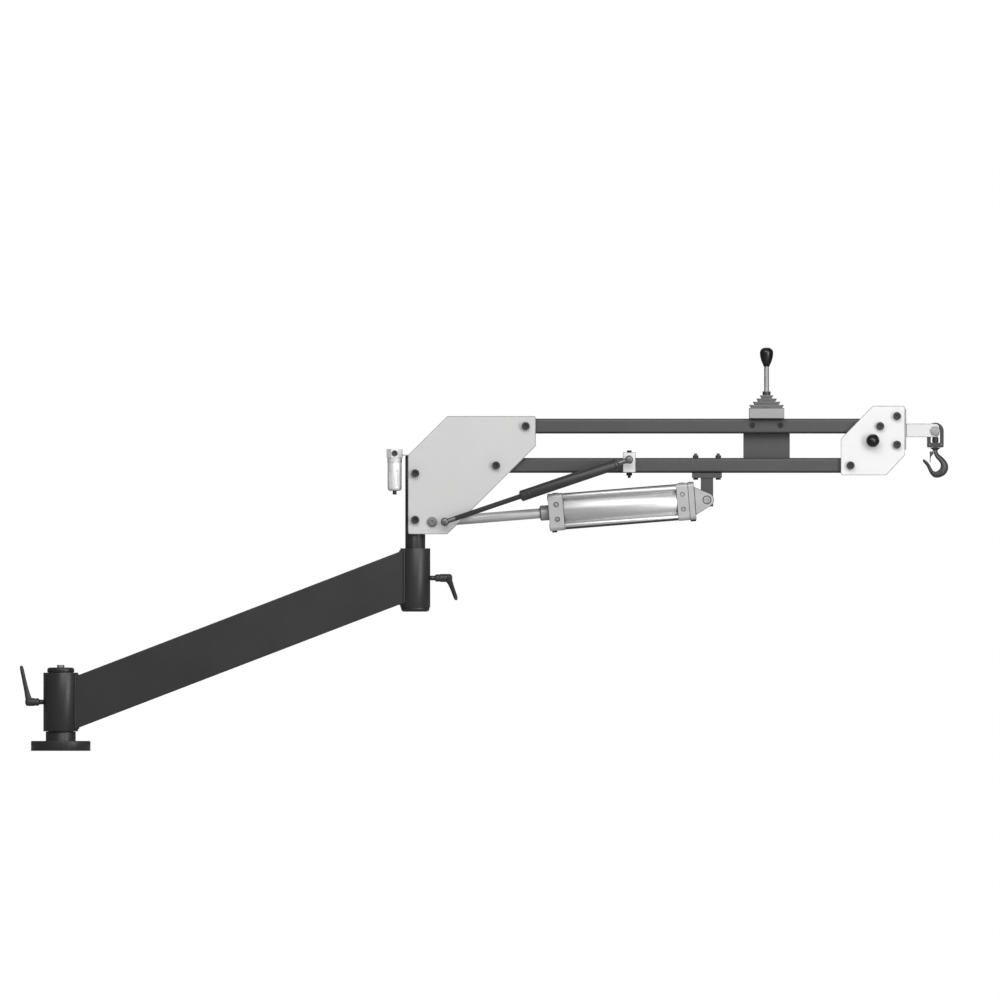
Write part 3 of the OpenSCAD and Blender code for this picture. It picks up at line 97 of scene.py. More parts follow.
class Tree:
    """A short way to write shader nodes."""

    def __init__(self, owner):
        self.nodes = owner.node_tree.nodes
        self.links = owner.node_tree.links

    def add(self, kind, **values):
        n = self.nodes.new(kind)
        for k, v in values.items():
            if hasattr(n, k) and k not in n.inputs:
                setattr(n, k, v)
            else:
                n.inputs[k].default_value = v
        return n

    def join(self, a, b):
        self.links.new(a, b)

    def noise(self, at, scale, detail, rough):
        n = self.add("ShaderNodeTexNoise", Scale=scale, Detail=detail, Roughness=rough)
        self.join(at, n.inputs["Vector"])
        return n.outputs["Fac"]

    def span(self, value, source, target=(0.0, 1.0)):
        """A value mapped from one span to another and kept inside it."""
        n = self.add("ShaderNodeMapRange")
        for socket, number in zip(("From Min", "From Max", "To Min", "To Max"), source + target):
            n.inputs[socket].default_value = number
        self.join(value, n.inputs["Value"])
        return n.outputs[0]

    def product(self, a, b):
        n = self.add("ShaderNodeMath", operation="MULTIPLY")
        self.join(a, n.inputs[0])
        self.join(b, n.inputs[1])
        return n.outputs[0]

    def ramp(self, value, stops):
        """A colour ramp with stops of place and colour, the lowest and the highest first."""
        n = self.add("ShaderNodeValToRGB")
        elements = n.color_ramp.elements
        for element, (at, colour) in zip(elements, stops):
            element.position = at
            element.color = colour
        for at, colour in stops[2:]:
            elements.new(at).color = colour
        self.join(value, n.inputs["Fac"])
        return n.outputs["Color"]

    def over(self, mask, below, colour):
        """A plain colour laid over another where the mask says so."""
        n = self.add("ShaderNodeMix", data_type="RGBA")
        self.join(mask, n.inputs["Factor"])
        self.join(below, n.inputs[MIX_BELOW])
        n.inputs[MIX_ABOVE].default_value = colour
        return n.outputs[MIX_RESULT]

    def facing(self):
        """How far the surface faces up, from -1 to 1."""
        split = self.add("ShaderNodeSeparateXYZ")
        self.join(self.add("ShaderNodeNewGeometry").outputs["Normal"], split.inputs[0])
        return split.outputs["Z"]

    def edges(self, at, share, width):
        """A mask of the edges, in patches. A share of 2 or more takes in every edge."""
        rounded = self.add("ShaderNodeBevel", samples=4)
        rounded.inputs["Radius"].default_value = width * MM
        dot = self.add("ShaderNodeVectorMath", operation="DOT_PRODUCT")
        self.join(rounded.outputs["Normal"], dot.inputs[0])
        self.join(self.add("ShaderNodeNewGeometry").outputs["Normal"], dot.inputs[1])
        edge_wear_and_shade = self.span(dot.outputs["Value"], EDGE_SPAN)
        patch = self.noise(at, 85.0, 4.0, 0.65)
        where = self.span(patch, (0.62 - 0.3 * share, 0.72 - 0.2 * share))
        return self.product(edge_wear_and_shade, where)


def surface(name, colour, rough, metal=0.0, vary=0.08, blotch=14, grain=700, bump=0.12, depth=0.12,
            brushed=None, edge=None, edge_share=0.5, edge_width=1.1, dust=0.0, underside_shade=0.0):
    """A material with colour variation, uneven gloss, fine relief and coloured edges: lighter ones are wear,
    darker ones painted shade.
    colour is linear, and vary is how much it wanders. rough is the least and the largest roughness.
    blotch and grain are the scales of the noise. depth is the relief's height and edge_width the width
    of the edge colour, in millimetres. brushed is the scale along X, Y and Z of a streaked grain.
    dust lightens what faces up, and under darkens what faces down as painted shade."""
    m = bpy.data.materials.new(name)
    m.use_nodes = True
    t = Tree(m)
    at = t.add("ShaderNodeTexCoord").outputs["Object"]
    fine_at = at
    if brushed:
        stretch = t.add("ShaderNodeMapping", Scale=brushed)
        t.join(at, stretch.inputs["Vector"])
        fine_at = stretch.outputs["Vector"]
    large = t.noise(at, blotch, 5.0, 0.6)
    fine = t.noise(fine_at, grain, 3.0, 0.55)
    part = t.add("ShaderNodeMath", operation="MULTIPLY")
    part.inputs[1].default_value = 1 - FINE_SHARE
    t.join(large, part.inputs[0])
    both = t.add("ShaderNodeMath", operation="MULTIPLY_ADD")
    both.inputs[1].default_value = FINE_SHARE
    t.join(fine, both.inputs[0])
    t.join(part.outputs[0], both.inputs[2])
    value = both.outputs[0]
    stops = list(zip(NOISE_SPAN, (scaled(colour, 1 - vary), scaled(colour, 1 + vary))))
    shade = t.ramp(value, stops)
    if edge:
        shade = t.over(t.edges(at, edge_share, edge_width), shade, edge)
    if dust:
        lie = t.span(t.facing(), DUST_SPAN, (0.0, dust))
        shade = t.over(t.product(lie, large), shade, tint(190, 0.04))
    # Painted shade: what faces down is darkened towards near black
    if underside_shade:
        shade = t.over(t.span(t.facing(), UNDERSIDE_SHADE_SPAN, (0.0, underside_shade)), shade, tint(18))
    relief = t.add("ShaderNodeBump", Strength=bump, Distance=depth * MM)
    t.join(fine, relief.inputs["Height"])
    shader = t.nodes["Principled BSDF"]
    shader.inputs["Metallic"].default_value = metal
    t.join(shade, shader.inputs["Base Color"])
    t.join(t.span(value, NOISE_SPAN, rough), shader.inputs["Roughness"])
    t.join(relief.outputs["Normal"], shader.inputs["Normal"])
    return m


LOOKS = {
    # Fine textured powder coat, near black
    "charcoal_paint": dict(colour=tint(38, -0.01), rough=(0.34, 0.46), vary=0.07, blotch=9, grain=1100,
                           bump=0.35, depth=0.10, edge=tint(112), edge_share=0.35, dust=0.10),
    # Painted bars and plates. The bars darken where they face down and the plates along all their edges, as
    # painted shade
    "grey_paint": dict(colour=tint(68, -0.01), rough=(0.40, 0.54), vary=0.06, blotch=7, grain=1000,
                       bump=0.25, depth=0.08, edge=tint(120), edge_share=0.25, underside_shade=0.9),
    "light_plate": dict(colour=tint(200, 0.003), rough=(0.32, 0.44), vary=0.025, blotch=8, grain=1200,
                        bump=0.16, depth=0.06, edge=tint(54), edge_share=2.0, edge_width=3.2),
    "white_plate": dict(colour=tint(226, 0.003), rough=(0.3, 0.42), vary=0.018, blotch=8, grain=1200,
                        bump=0.14, depth=0.06, edge=tint(80), edge_share=2.0, edge_width=3.2),
    "boom_paint": dict(colour=tint(214, 0.003), rough=(0.3, 0.42), vary=0.018, blotch=8, grain=1200,
                       bump=0.14, depth=0.06, edge=tint(80), edge_share=2.0, edge_width=3.2),
    # The colour of the rounded edges of plates, blocks and caps, which is painted shade along them
    "painted_edge_shade": dict(colour=tint(74), rough=(0.42, 0.56), metal=0.2, vary=0.10, blotch=60, grain=700,
                     bump=0.2, depth=0.05),
    # Steel, zinc and bronze
    "steel": dict(colour=tint(168, 0.01), rough=(0.24, 0.4), metal=1.0, vary=0.12, blotch=40, grain=520,
                  bump=0.2, depth=0.05, edge=tint(215), edge_share=0.8),
    # The darker edges of black_steel, mid_zinc and dark_zinc are painted shade round their rims
    "black_steel": dict(colour=tint(56), rough=(0.34, 0.48), metal=0.25, vary=0.14, blotch=45, grain=900,
                        bump=0.2, depth=0.05, edge=tint(26), edge_share=0.9),
    "stem_steel": dict(colour=tint(146), rough=(0.42, 0.5), metal=0.5, vary=0.02, blotch=20, grain=300,
                       bump=0.02, depth=0.01),
    # chromed darkens where it faces down: painted shade
    "chromed": dict(colour=tint(228), rough=(0.34, 0.42), metal=0.6, vary=0.03, blotch=20, grain=260,
                    bump=0.02, depth=0.01, underside_shade=0.3),
    "zinc": dict(colour=tint(176, 0.015), rough=(0.28, 0.46), metal=0.9, vary=0.13, blotch=60, grain=600,
                 bump=0.2, depth=0.05, edge=tint(220), edge_share=0.7),
    "mid_zinc": dict(colour=tint(148, 0.01), rough=(0.3, 0.46), metal=0.85, vary=0.13, blotch=60,
                     grain=600, bump=0.2, depth=0.05, edge=tint(60), edge_share=0.8),
    "dark_zinc": dict(colour=tint(112, 0.01), rough=(0.3, 0.46), metal=0.85, vary=0.13, blotch=60,
                      grain=600, bump=0.2, depth=0.05, edge=tint(60), edge_share=0.8),
    "dark_screw": dict(colour=tint(14), rough=(0.36, 0.5), metal=0.2, vary=0.14, blotch=50, grain=900,
                       bump=0.2, depth=0.05, edge=tint(70), edge_share=0.4),
    "bronze": dict(colour=(0.36, 0.21, 0.085, 1), rough=(0.3, 0.48), metal=0.9, vary=0.15, blotch=50,
                   grain=700, bump=0.25, depth=0.06, edge=(0.5, 0.32, 0.15, 1)),
    # Drawn and cast alloy, and the forged hook
    "alloy": dict(colour=tint(196), rough=(0.36, 0.44), metal=0.8, vary=0.03, blotch=16, grain=1,
                  bump=0.04, depth=0.03, brushed=(40, 900, 900)),
    # The darker edges of cast_alloy are painted shade along them
    "cast_alloy": dict(colour=tint(173, 0.004), rough=(0.40, 0.54), metal=0.35, vary=0.07, blotch=30,
                       grain=900, bump=0.35, depth=0.12, edge=tint(110), edge_share=0.8),
    # guard_metal darkens where it faces down: painted shade
    "guard_metal": dict(colour=tint(240), rough=(0.38, 0.48), metal=0.3, vary=0.02, blotch=20, grain=900,
                        bump=0.05, depth=0.02, underside_shade=0.5),
    "cast_hook": dict(colour=tint(62), rough=(0.34, 0.5), metal=0.35, vary=0.16, blotch=55, grain=600,
                      bump=0.45, depth=0.16, edge=tint(130), edge_share=0.6),
    # Plastics and rubber
    "light_plastic": dict(colour=tint(236, 0.006), rough=(0.34, 0.46), vary=0.03, blotch=18, grain=1300,
                          bump=0.15, depth=0.05, edge=tint(245), edge_share=0.4),
    "grey_plastic": dict(colour=tint(152), rough=(0.4, 0.52), vary=0.03, blotch=16, grain=1100,
                         bump=0.35, depth=0.09, edge=tint(195), edge_share=0.4),
    "black_plastic": dict(colour=tint(3), rough=(0.28, 0.34), vary=0.06, blotch=24, grain=900,
                          bump=0.02, depth=0.01),
    "dark_plastic": dict(colour=tint(50), rough=(0.4, 0.55), vary=0.08, blotch=26, grain=1100,
                         bump=0.4, depth=0.10, edge=tint(92), edge_share=0.6),
    "grey_rubber": dict(colour=tint(118), rough=(0.55, 0.7), vary=0.06, blotch=30, grain=1000,
                        bump=0.4, depth=0.10, edge=tint(145), edge_share=0.4),
}
MATERIALS = {name: surface(name, **look) for name, look in LOOKS.items()}


def dress(obj, material):
    """Gives an object one material."""
    obj.data.materials.clear()
    obj.data.materials.append(MATERIALS[material])


# Edges and looks of the CAD nodes

# Width of a rounded edge in millimetres
EDGE = {
    "base_flange": 1.2, "base_post": 0.8, "hub_cap": 3.4, "lower_hub": 1.0, "upper_hub": 1.0,
    "arm_beam": 2.2, "upper_hub_cap": 0.8, "near_side_plate": 0.8, "far_side_plate": 0.8,
    "near_head_plate": 1.2, "far_head_plate": 1.2, "front_cap": 1.1, "rear_cap": 1.1,
    "cylinder_clevis": 1.2, "joystick_housing": 1.4, "filter_head": 0.7, "filter_guard": 0.7,
    "clevis_pin": 0.9, "cap_screws": 0.5, "head_block": 1.0, "clamp_block": 1.0,
    "hook_bolt": 0.6, "boom_fork": 1.5, "cylinder_bracket": 0.8,
}
SMALL_EDGE = 0.35
# An edge wider than this gets more segments
WIDE_EDGE = 2
# Painted shade: darker rounded edges on the plates, the blocks, the caps and some screws
SHADED_EDGES = dict.fromkeys(("near_side_plate", "far_side_plate", "near_head_plate", "far_head_plate", "head_block",
                     "boom_fork", "clamp_block", "filter_head", "filter_guard", "front_cap", "rear_cap",
                     "joystick_housing", "cylinder_clevis", "hook_bolt"), "painted_edge_shade")
SHADED_EDGES.update({"clevis_pin": "dark_screw", "cap_screws": "dark_screw"})
# Looks of single nodes that differ from the rest of their slot
OWN = {"valve_screws": "dark_screw", "clamp_block_screw": "dark_screw", "latch": "black_steel",
       "gas_spring_lower_stud": "dark_zinc", "gas_spring_upper_stud": "dark_zinc",
       "joystick_stem": "stem_steel", "rod_pin_screws": "mid_zinc", "hook_bolt": "mid_zinc",
       "boom_fork": "boom_paint", "filter_head": "guard_metal", "filter_guard": "guard_metal"}


def soften(obj, width):
    """Rounds a hard solid's edges and keeps its flat faces flat."""
    weld = obj.modifiers.new("weld", "WELD")
    weld.merge_threshold = 0.00001
    flat = obj.modifiers.new("planar", "DECIMATE")
    flat.decimate_type = "DISSOLVE"
    flat.angle_limit = math.radians(0.6)
    edge = obj.modifiers.new("edges", "BEVEL")
    edge.width = width * MM
    edge.segments = 4 if width > WIDE_EDGE else 2
    edge.limit_method = "ANGLE"
    edge.angle_limit = math.radians(32)
    edge.use_clamp_overlap = True
    edge.miter_outer = "MITER_ARC"
    edge.harden_normals = True


for name, obj in nodes.items():
    dress(obj, OWN.get(name, slots[name]))
    soften(obj, EDGE.get(name, SMALL_EDGE))
    if name in SHADED_EDGES:
        obj.data.materials.append(MATERIALS[SHADED_EDGES[name]])
        obj.modifiers["edges"].material = 1


# Helpers for shapes: each gives points in millimetres and faces

# A turned piece closes with a ring this small instead of a single point
LEAST_RADIUS = 0.001


def around(count):
    """Angles at even steps round a circle."""
    return [math.tau * k / count for k in range(count)]


def squared(count, power):
    """Points of a circle of radius 1 that is round at a power of 2 and squarer above it."""
    points = []
    for a in around(count):
        c, s = math.cos(a), math.sin(a)
        f = (abs(c) ** power + abs(s) ** power) ** (-1 / power)
        points.append((c * f, s * f))
    return points


def bridged(rings, caps=True):
    """Faces between rings of equal length, one after another, and over both ends."""
    n = len(rings[0])
    verts = [tuple(p) for r in rings for p in r]
    faces = []
    for i in range(len(rings) - 1):
        for k in range(n):
            a, b = i * n + k, i * n + (k + 1) % n
            faces.append((a, b, b + n, a + n))
    if caps:
        faces.append(tuple(range(n)))
        faces.append(tuple(range((len(rings) - 1) * n, len(rings) * n)))
    return verts, faces


def frame_of(axis):
    """Two directions across an axis."""
    axis = Vector(axis).normalized()
    side = axis.cross(UP)
    if side.length < 1e-3:
        side = ACROSS.copy()
    side.normalize()
    return side, side.cross(axis).normalized()


def turned(profile, at, axis, segments=48):
    """A turned piece: profile holds (distance along the axis, radius)."""
    at, axis = Vector(at), Vector(axis).normalized()
    u, v = frame_of(axis)
    rings = []
    for t, r in profile:
        r = max(r, LEAST_RADIUS)
        rings.append([at + axis * t + (u * math.cos(a) + v * math.sin(a)) * r for a in around(segments)])
    return bridged(rings)


def swept(path, radius, segments=12, closed=False, ripple=0.0, pitch=3.0):
    """A round wire or bead along points. ripple gives a weld bead its scales."""
    pts = [Vector(p) for p in path]
    n = len(pts)
    rings = []
    run = 0.0
    normal = None
    for i, p in enumerate(pts):
        before = pts[i - 1] if i > 0 or closed else pts[i]
        after = pts[(i + 1) % n] if i < n - 1 or closed else pts[i]
        along = (after - before).normalized()
        if i:
            run += (p - pts[i - 1]).length
        if normal is None:
            normal = frame_of(along)[0]
        normal = (normal - along * normal.dot(along)).normalized()
        other = along.cross(normal)
        r = radius * (1 + ripple * math.sin(math.tau * run / pitch))
        rings.append([p + (normal * math.cos(a) + other * math.sin(a)) * r for a in around(segments)])
    return bridged(rings + [rings[0]], caps=False) if closed else bridged(rings)


def join(*parts):
    """One set of points and faces from several."""
    verts = []
    faces = []
    for v, f in parts:
        n = len(verts)
        verts += v
        faces += [tuple(i + n for i in q) for q in f]
    return verts, faces


def resample(points, step):
    """Points about step apart along a polyline."""
    out = [Vector(points[0])]
    for a, b in zip(points, points[1:]):
        a, b = Vector(a), Vector(b)
        k = max(1, round((b - a).length / step))
        out += [a.lerp(b, i / k) for i in range(1, k + 1)]
    return out


def spline(points, count):
    """A smooth line through points, by Catmull and Rom's rule."""
    p = [Vector(q) for q in points]
    p = [2 * p[0] - p[1]] + p + [2 * p[-1] - p[-2]]
    out = []
    spans = len(p) - 3
    for i in range(count):
        t = i / (count - 1) * spans
        k = min(int(t), spans - 1)
        t -= k
        a, b, c, d = p[k:k + 4]
        out.append(0.5 * (2 * b + (c - a) * t + (2 * a - 5 * b + 4 * c - d) * t * t
                          + (3 * b - a - 3 * c + d) * t ** 3))
    return out


def piece(name, shape, material, body, smooth=True, sharp=40, hides=(), look=None):
    """A visible piece that rides on a body and may stand for CAD nodes. Edges steeper than sharp stay
    sharp. look is the surface to show where it differs from the slot's."""
    verts, faces = shape
    mesh = bpy.data.meshes.new(name)
    mesh.from_pydata([(x * MM, y * MM, z * MM) for x, y, z in verts], [], faces)
    b = bmesh.new()
    b.from_mesh(mesh)
    bmesh.ops.remove_doubles(b, verts=b.verts, dist=1e-6)
    bmesh.ops.recalc_face_normals(b, faces=b.faces)
    for f in b.faces:
        f.smooth = smooth
    for e in b.edges:
        if len(e.link_faces) == 2 and e.calc_face_angle(0) > math.radians(sharp):
            e.smooth = False
    b.to_mesh(mesh)
    b.free()
    obj = bpy.data.objects.new(name, mesh)
    scene.collection.objects.link(obj)
    dress(obj, look or material)
    if body:
        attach(obj, body)
    if hides:
        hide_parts(*hides)
    return obj


# Places in millimetres that several pieces share

mast_x = pivot("mast_swivel")[0]
stick_x = pivot("joystick_tilt")[0]
hook_x, _, swivel_z = pivot("hook_swivel")
latch_x, _, latch_z = pivot("latch_hinge")
low_hub_r, high_hub_r = 34.8, 30.0

# The air cylinder's frame starts at the rod pin
cyl_tilt = math.radians(4.597)
cyl_at = Vector((742.7, 0, 457.8))
cyl_x = Vector((math.cos(cyl_tilt), 0, math.sin(cyl_tilt)))
cyl_z = Vector((-math.sin(cyl_tilt), 0, math.cos(cyl_tilt)))
nose_face, front_face, tube_start, tube_end, rear_face = 217.6, 234.1, 264.1, 492.1, 515.1

# The gas spring's frame starts at its lower ball
gas_low, gas_high = pivot("gas_rod_pivot"), pivot("gas_tube_pivot")
gas_run, gas_rise = gas_high[0] - gas_low[0], gas_high[2] - gas_low[2]
gas_length = math.hypot(gas_run, gas_rise)
gas_tilt = math.atan2(gas_rise, gas_run)
gas_at = Vector(gas_low)
gas_x = Vector((math.cos(gas_tilt), 0, math.sin(gas_tilt)))
gas_z = Vector((-math.sin(gas_tilt), 0, math.cos(gas_tilt)))


def on_cyl(x, y, z):
    """A point of the air cylinder's frame."""
    return cyl_at + cyl_x * x + ACROSS * y + cyl_z * z


def on_gas(x, y):
    """A point of the gas spring's frame, at the height of its axis."""
    return gas_at + gas_x * x + ACROSS * y


# Clamping levers: a ribbed foot, a barrel with a release button, and a flattened, flared arm

# Distance from the foot along the axis, and radius
LEVER_FOOT = ((0, 0), (0, 5.4), (0.6, 6.6), (2.2, 7.2), (7.4, 7.5), (7.9, 6.9), (8.7, 6.9), (9.3, 7.7),
              (13.0, 8.1))
# Distance from the outer end, and radius. The button is set in there
LEVER_BUTTON = ((-6.0, 8.1), (-3.6, 7.7), (-1.8, 6.8), (-1.4, 5.6), (-2.6, 5.3), (-2.7, 4.9), (-0.9, 4.4),
                (0, 2.8), (0, 0))
# Distance along the arm, half width towards the axis, half thickness across it, shift outwards
LEVER_ARM = ((-3.0, 6.0, 6.4, 0.0), (2.0, 6.4, 6.8, 0.0), (7.0, 6.3, 6.7, 0.0), (10.5, 6.0, 6.0, 0.1),
             (15.0, 5.5, 5.1, 0.2), (22.0, 4.9, 4.7, 0.3), (34.0, 4.4, 4.6, 0.4), (46.0, 4.1, 4.7, 0.3),
             (56.0, 4.0, 4.8, 0.2), (64.0, 3.9, 4.7, 0.1), (69.5, 3.7, 4.3, 0.0), (73.0, 2.9, 3.3, 0.0),
             (74.3, 1.5, 1.8, 0.0), (74.5, 0.1, 0.1, 0.0))
LEVER_POINTS, LEVER_POWER = 28, 2.6
# How far the arm leans outwards, and how far inside the hub's end it starts
LEVER_LEAN = math.radians(12.6)
LEVER_ROOT = 8.3
RIBS, RIB_START, RIB_LENGTH, RIB_AT_R, RIB_R = 16, 2.4, 4.6, 7.25, 0.42
# How far a lever's foot stands from the wall of its hub, and the length from foot to button
LOWER_FOOT, LOWER_LENGTH = 7.9, 28.6
UPPER_FOOT, UPPER_LENGTH = 9.7, 34.6
# How far the upper lever is turned from upright towards the viewer
UPPER_TURN = math.radians(126)


def lever(name, body, at, axis, lift, node, foot, length):
    """axis points out of the hub, lift is the side that the arm stands on, and foot is how far from at
    the lever starts."""
    at, axis, lift = Vector(at), Vector(axis).normalized(), Vector(lift).normalized()
    side = axis.cross(lift)
    end = foot + length
    profile = [(foot + d, r) for d, r in LEVER_FOOT] + [(end + d, r) for d, r in LEVER_BUTTON]
    hub = turned(profile, at, axis)
    root = at + axis * (end - LEVER_ROOT)
    along = (lift * math.cos(LEVER_LEAN) + axis * math.sin(LEVER_LEAN)).normalized()
    out = (axis * math.cos(LEVER_LEAN) - lift * math.sin(LEVER_LEAN)).normalized()
    rings = []
    for d, wide, thick, shift in LEVER_ARM:
        middle = root + along * d + out * shift
        rings.append([middle + out * (wide * u) + side * (thick * v)
                      for u, v in squared(LEVER_POINTS, LEVER_POWER)])
    ribs = []
    for a in around(RIBS):
        p = at + axis * (foot + RIB_START) + (lift * math.cos(a) + side * math.sin(a)) * RIB_AT_R
        ribs.append(swept([p, p + axis * RIB_LENGTH], RIB_R, 6))
    piece(name, join(hub, bridged(rings), *ribs), "dark_plastic", body, sharp=38, hides=(node,))


def clamping_levers():
    """The lower lever stands upright, and the upper one hangs towards the viewer."""
    low_at = (-low_hub_r, 0, pivot("base_clamp")[2])
    lever("lower_lever_handle", "lower_lever", low_at, (-1, 0, 0), UP, "lower_lever",
          LOWER_FOOT, LOWER_LENGTH)
    high_at = (mast_x + high_hub_r, 0, pivot("mast_clamp")[2])
    hanging = (0, -math.sin(UPPER_TURN), math.cos(UPPER_TURN))
    lever("upper_lever_handle", "upper_lever", high_at, (1, 0, 0), hanging, "upper_lever",
          UPPER_FOOT, UPPER_LENGTH)


# Joystick: a glossy egg-shaped knob, a rubber bellows in square folds, a screwed collar

KNOB_Z, KNOB_H, KNOB_R = 769.0, 37.6, 13.25
# Height and radius of the knob's foot
KNOB_FOOT = [(0.0, 0.05), (0.0, 6.1), (0.5, 6.6), (1.8, 6.8), (2.2, 6.3), (2.7, 6.3)]
# The share of its height at which the knob is widest
KNOB_WIDEST = 0.7
KNOB_STEPS = 32
BELLOWS_Z, BELLOWS_H, FOLDS = 685.9, 25.4, 4
# Half the width of the lowest and of the highest fold
FOLD_LOW, FOLD_HIGH = 34.5, 13.5
# Distance in from a fold's edge, corner radius, and height as a share of the fold
FOLD = ((3.0, 3.0, 0.0), (2.7, 3.2, 0.12), (0.6, 4.2, 0.66), (0.05, 4.6, 0.80), (0.0, 4.7, 0.88),
        (0.3, 4.6, 0.96), (1.0, 4.2, 0.99))
# The foot of the next fold: distance in from its edge, and corner radius
GROOVE_IN, GROOVE_CORNER = 2.4, 3.0
# The bellows' neck: half width, corner radius, and height above its top
NECK = ((8.0, 6.6, 0.0), (7.5, 7.4, 0.0), (7.3, 7.2, 0.8), (5.6, 5.5, 0.8))
CORNER_POINTS = 7
# Height and radius of the collar above the bellows
STEM_COLLAR = [(0.3, 5.1), (0.3, 7.2), (0.9, 7.9), (1.6, 8.15), (6.6, 8.15), (7.4, 7.6), (7.9, 7.0),
               (8.3, 5.6), (8.3, 4.9)]


def knob_share(t):
    """The knob's radius as a share of the largest, at a share t of its height."""
    if t < KNOB_WIDEST:
        return 0.5 + 0.5 * math.sin(math.radians(90 * t / KNOB_WIDEST)) ** 0.85
    return (1 - 0.9 * ((t - KNOB_WIDEST) / (1 - KNOB_WIDEST)) ** 2.4) ** 0.5


def square_ring(half, corner, z):
    """A square with round corners at a height."""
    ring = []
    for i, (sx, sy) in enumerate(((1, 1), (-1, 1), (-1, -1), (1, -1))):
        for k in range(CORNER_POINTS):
            a = math.radians(90 * i + 90 * k / (CORNER_POINTS - 1))
            ring.append((stick_x + sx * (half - corner) + corner * math.cos(a),
                         sy * (half - corner) + corner * math.sin(a), z))
    return ring


def fold_half(i):
    """Half the width of a fold, counted from the lowest."""
    return FOLD_LOW + (FOLD_HIGH - FOLD_LOW) * i / (FOLDS - 1)


def joystick():
    foot_h = KNOB_FOOT[-1][0]
    egg = list(KNOB_FOOT)
    for k in range(1, KNOB_STEPS + 1):
        t = k / KNOB_STEPS
        egg.append((foot_h + (KNOB_H - foot_h) * t, KNOB_R * knob_share(t)))
    egg.append((KNOB_H, 0.0))
    piece("joystick_grip", turned(egg, (stick_x, 0, KNOB_Z), UP, 64), "black_plastic", "joystick",
          sharp=50, hides=("joystick_knob",))
    fold_h = BELLOWS_H / FOLDS
    top = BELLOWS_Z + BELLOWS_H
    rows = []
    for i in range(FOLDS):
        z = BELLOWS_Z + i * fold_h
        rows += [(fold_half(i) - inset, corner, z + fold_h * share) for inset, corner, share in FOLD]
        if i < FOLDS - 1:
            rows.append((fold_half(i + 1) - GROOVE_IN, GROOVE_CORNER, z + fold_h))
    rows += [(half, corner, top + rise) for half, corner, rise in NECK]
    shape = bridged([square_ring(half, corner, z) for half, corner, z in rows])
    bellows = piece("bellows", shape, "grey_rubber", None, sharp=60, hides=("joystick_bellows",))
    piece("stem_collar", turned(STEM_COLLAR, (stick_x, 0, top), UP), "dark_plastic", "joystick", sharp=60)
    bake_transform(bellows)


# Hook: a drop-forged section that is broad inside the throat and narrow outside

# The inner and the outer outline as x and z, and half the thickness at the same places
HOOK_INNER = ((1745.0, 601.5), (1746.6, 593.5), (1750.2, 586.4), (1755.6, 580.0), (1759.2, 574.8),
              (1759.9, 569.4), (1758.4, 564.8), (1754.8, 560.9), (1749.9, 558.8), (1745.6, 559.9),
              (1742.4, 563.6), (1738.7, 571.2), (1733.6, 578.0), (1727.6, 582.6))
HOOK_OUTER = ((1753.4, 601.5), (1755.2, 594.8), (1761.0, 589.6), (1767.2, 583.9), (1772.6, 576.4),
              (1774.9, 568.6), (1773.6, 560.2), (1767.6, 551.8), (1757.0, 546.9), (1746.6, 547.3),
              (1739.2, 554.2), (1735.0, 562.6), (1731.0, 570.6), (1724.6, 578.6))
HOOK_THICK = (4.5, 4.9, 5.5, 5.9, 6.2, 6.3, 6.3, 6.1, 5.7, 5.3, 4.8, 4.2, 3.6, 2.7)
HOOK_RINGS, HOOK_POINTS, HOOK_POWER = 79, 28, 2.5
# How much the section narrows from the throat outwards
HOOK_TAPER = 0.20
# Distance beyond the tip's last ring, and the ring's size as a share
HOOK_TIP = ((1.1, 0.84), (1.9, 0.56), (2.3, 0.15))
# Height and radius of the shank, its nut and its collar, and how high each starts above the bow's hole
SHANK = [(0, 4.45), (20.8, 4.45)]
SHANK_NUT = [(0, 4.5), (0, 6.0), (0.5, 6.35), (9.6, 6.35), (10.4, 5.6), (10.9, 4.3), (12.6, 4.2),
             (12.9, 3.8), (12.9, 0)]
SHANK_COLLAR = [(0, 4.5), (0, 5.2), (0.5, 5.6), (3.4, 9.6), (4.0, 10.2), (4.6, 10.2), (4.9, 9.8),
                (4.9, 4.5)]
SHANK_Z, NUT_Z, COLLAR_Z = -7.3, 9.9, -5.2
PIN_HALF = 8.0
# Distance away from the viewer, and radius
LATCH_PIN =[(0, 0), (0, 1.3), (0.4, 1.7), (1.0, 1.7), (1.2, 1.45), (14.8, 1.45), (15.0, 1.7),
             (15.6, 1.7), (16.0, 1.3), (16.0, 0)]
# The spring's coil: radius, distance from the middle, step inwards, steps a turn and in all, wire
COIL_R, COIL_Y, COIL_IN, COIL_TURN, COIL_STEPS, COIL_WIRE = 2.2, 4.9, 0.016, 12, 31, 0.42
# The spring's straight leg, from the latch's pin
COIL_LEG = ((-5.6, 4.8, -12.9), (-5.0, 4.9, -4.9))
# Height and radius of a rivet's head, and the rivets' places from the bow's hole
RIVET_HEAD = [(0, 0), (0, 2.3), (0.4, 2.2), (0.8, 1.7), (1.0, 0.9), (1.05, 0)]
RIVET_X, RIVET_Y, RIVET_Z = (-11.6, 11.8), 6.9, 5.5


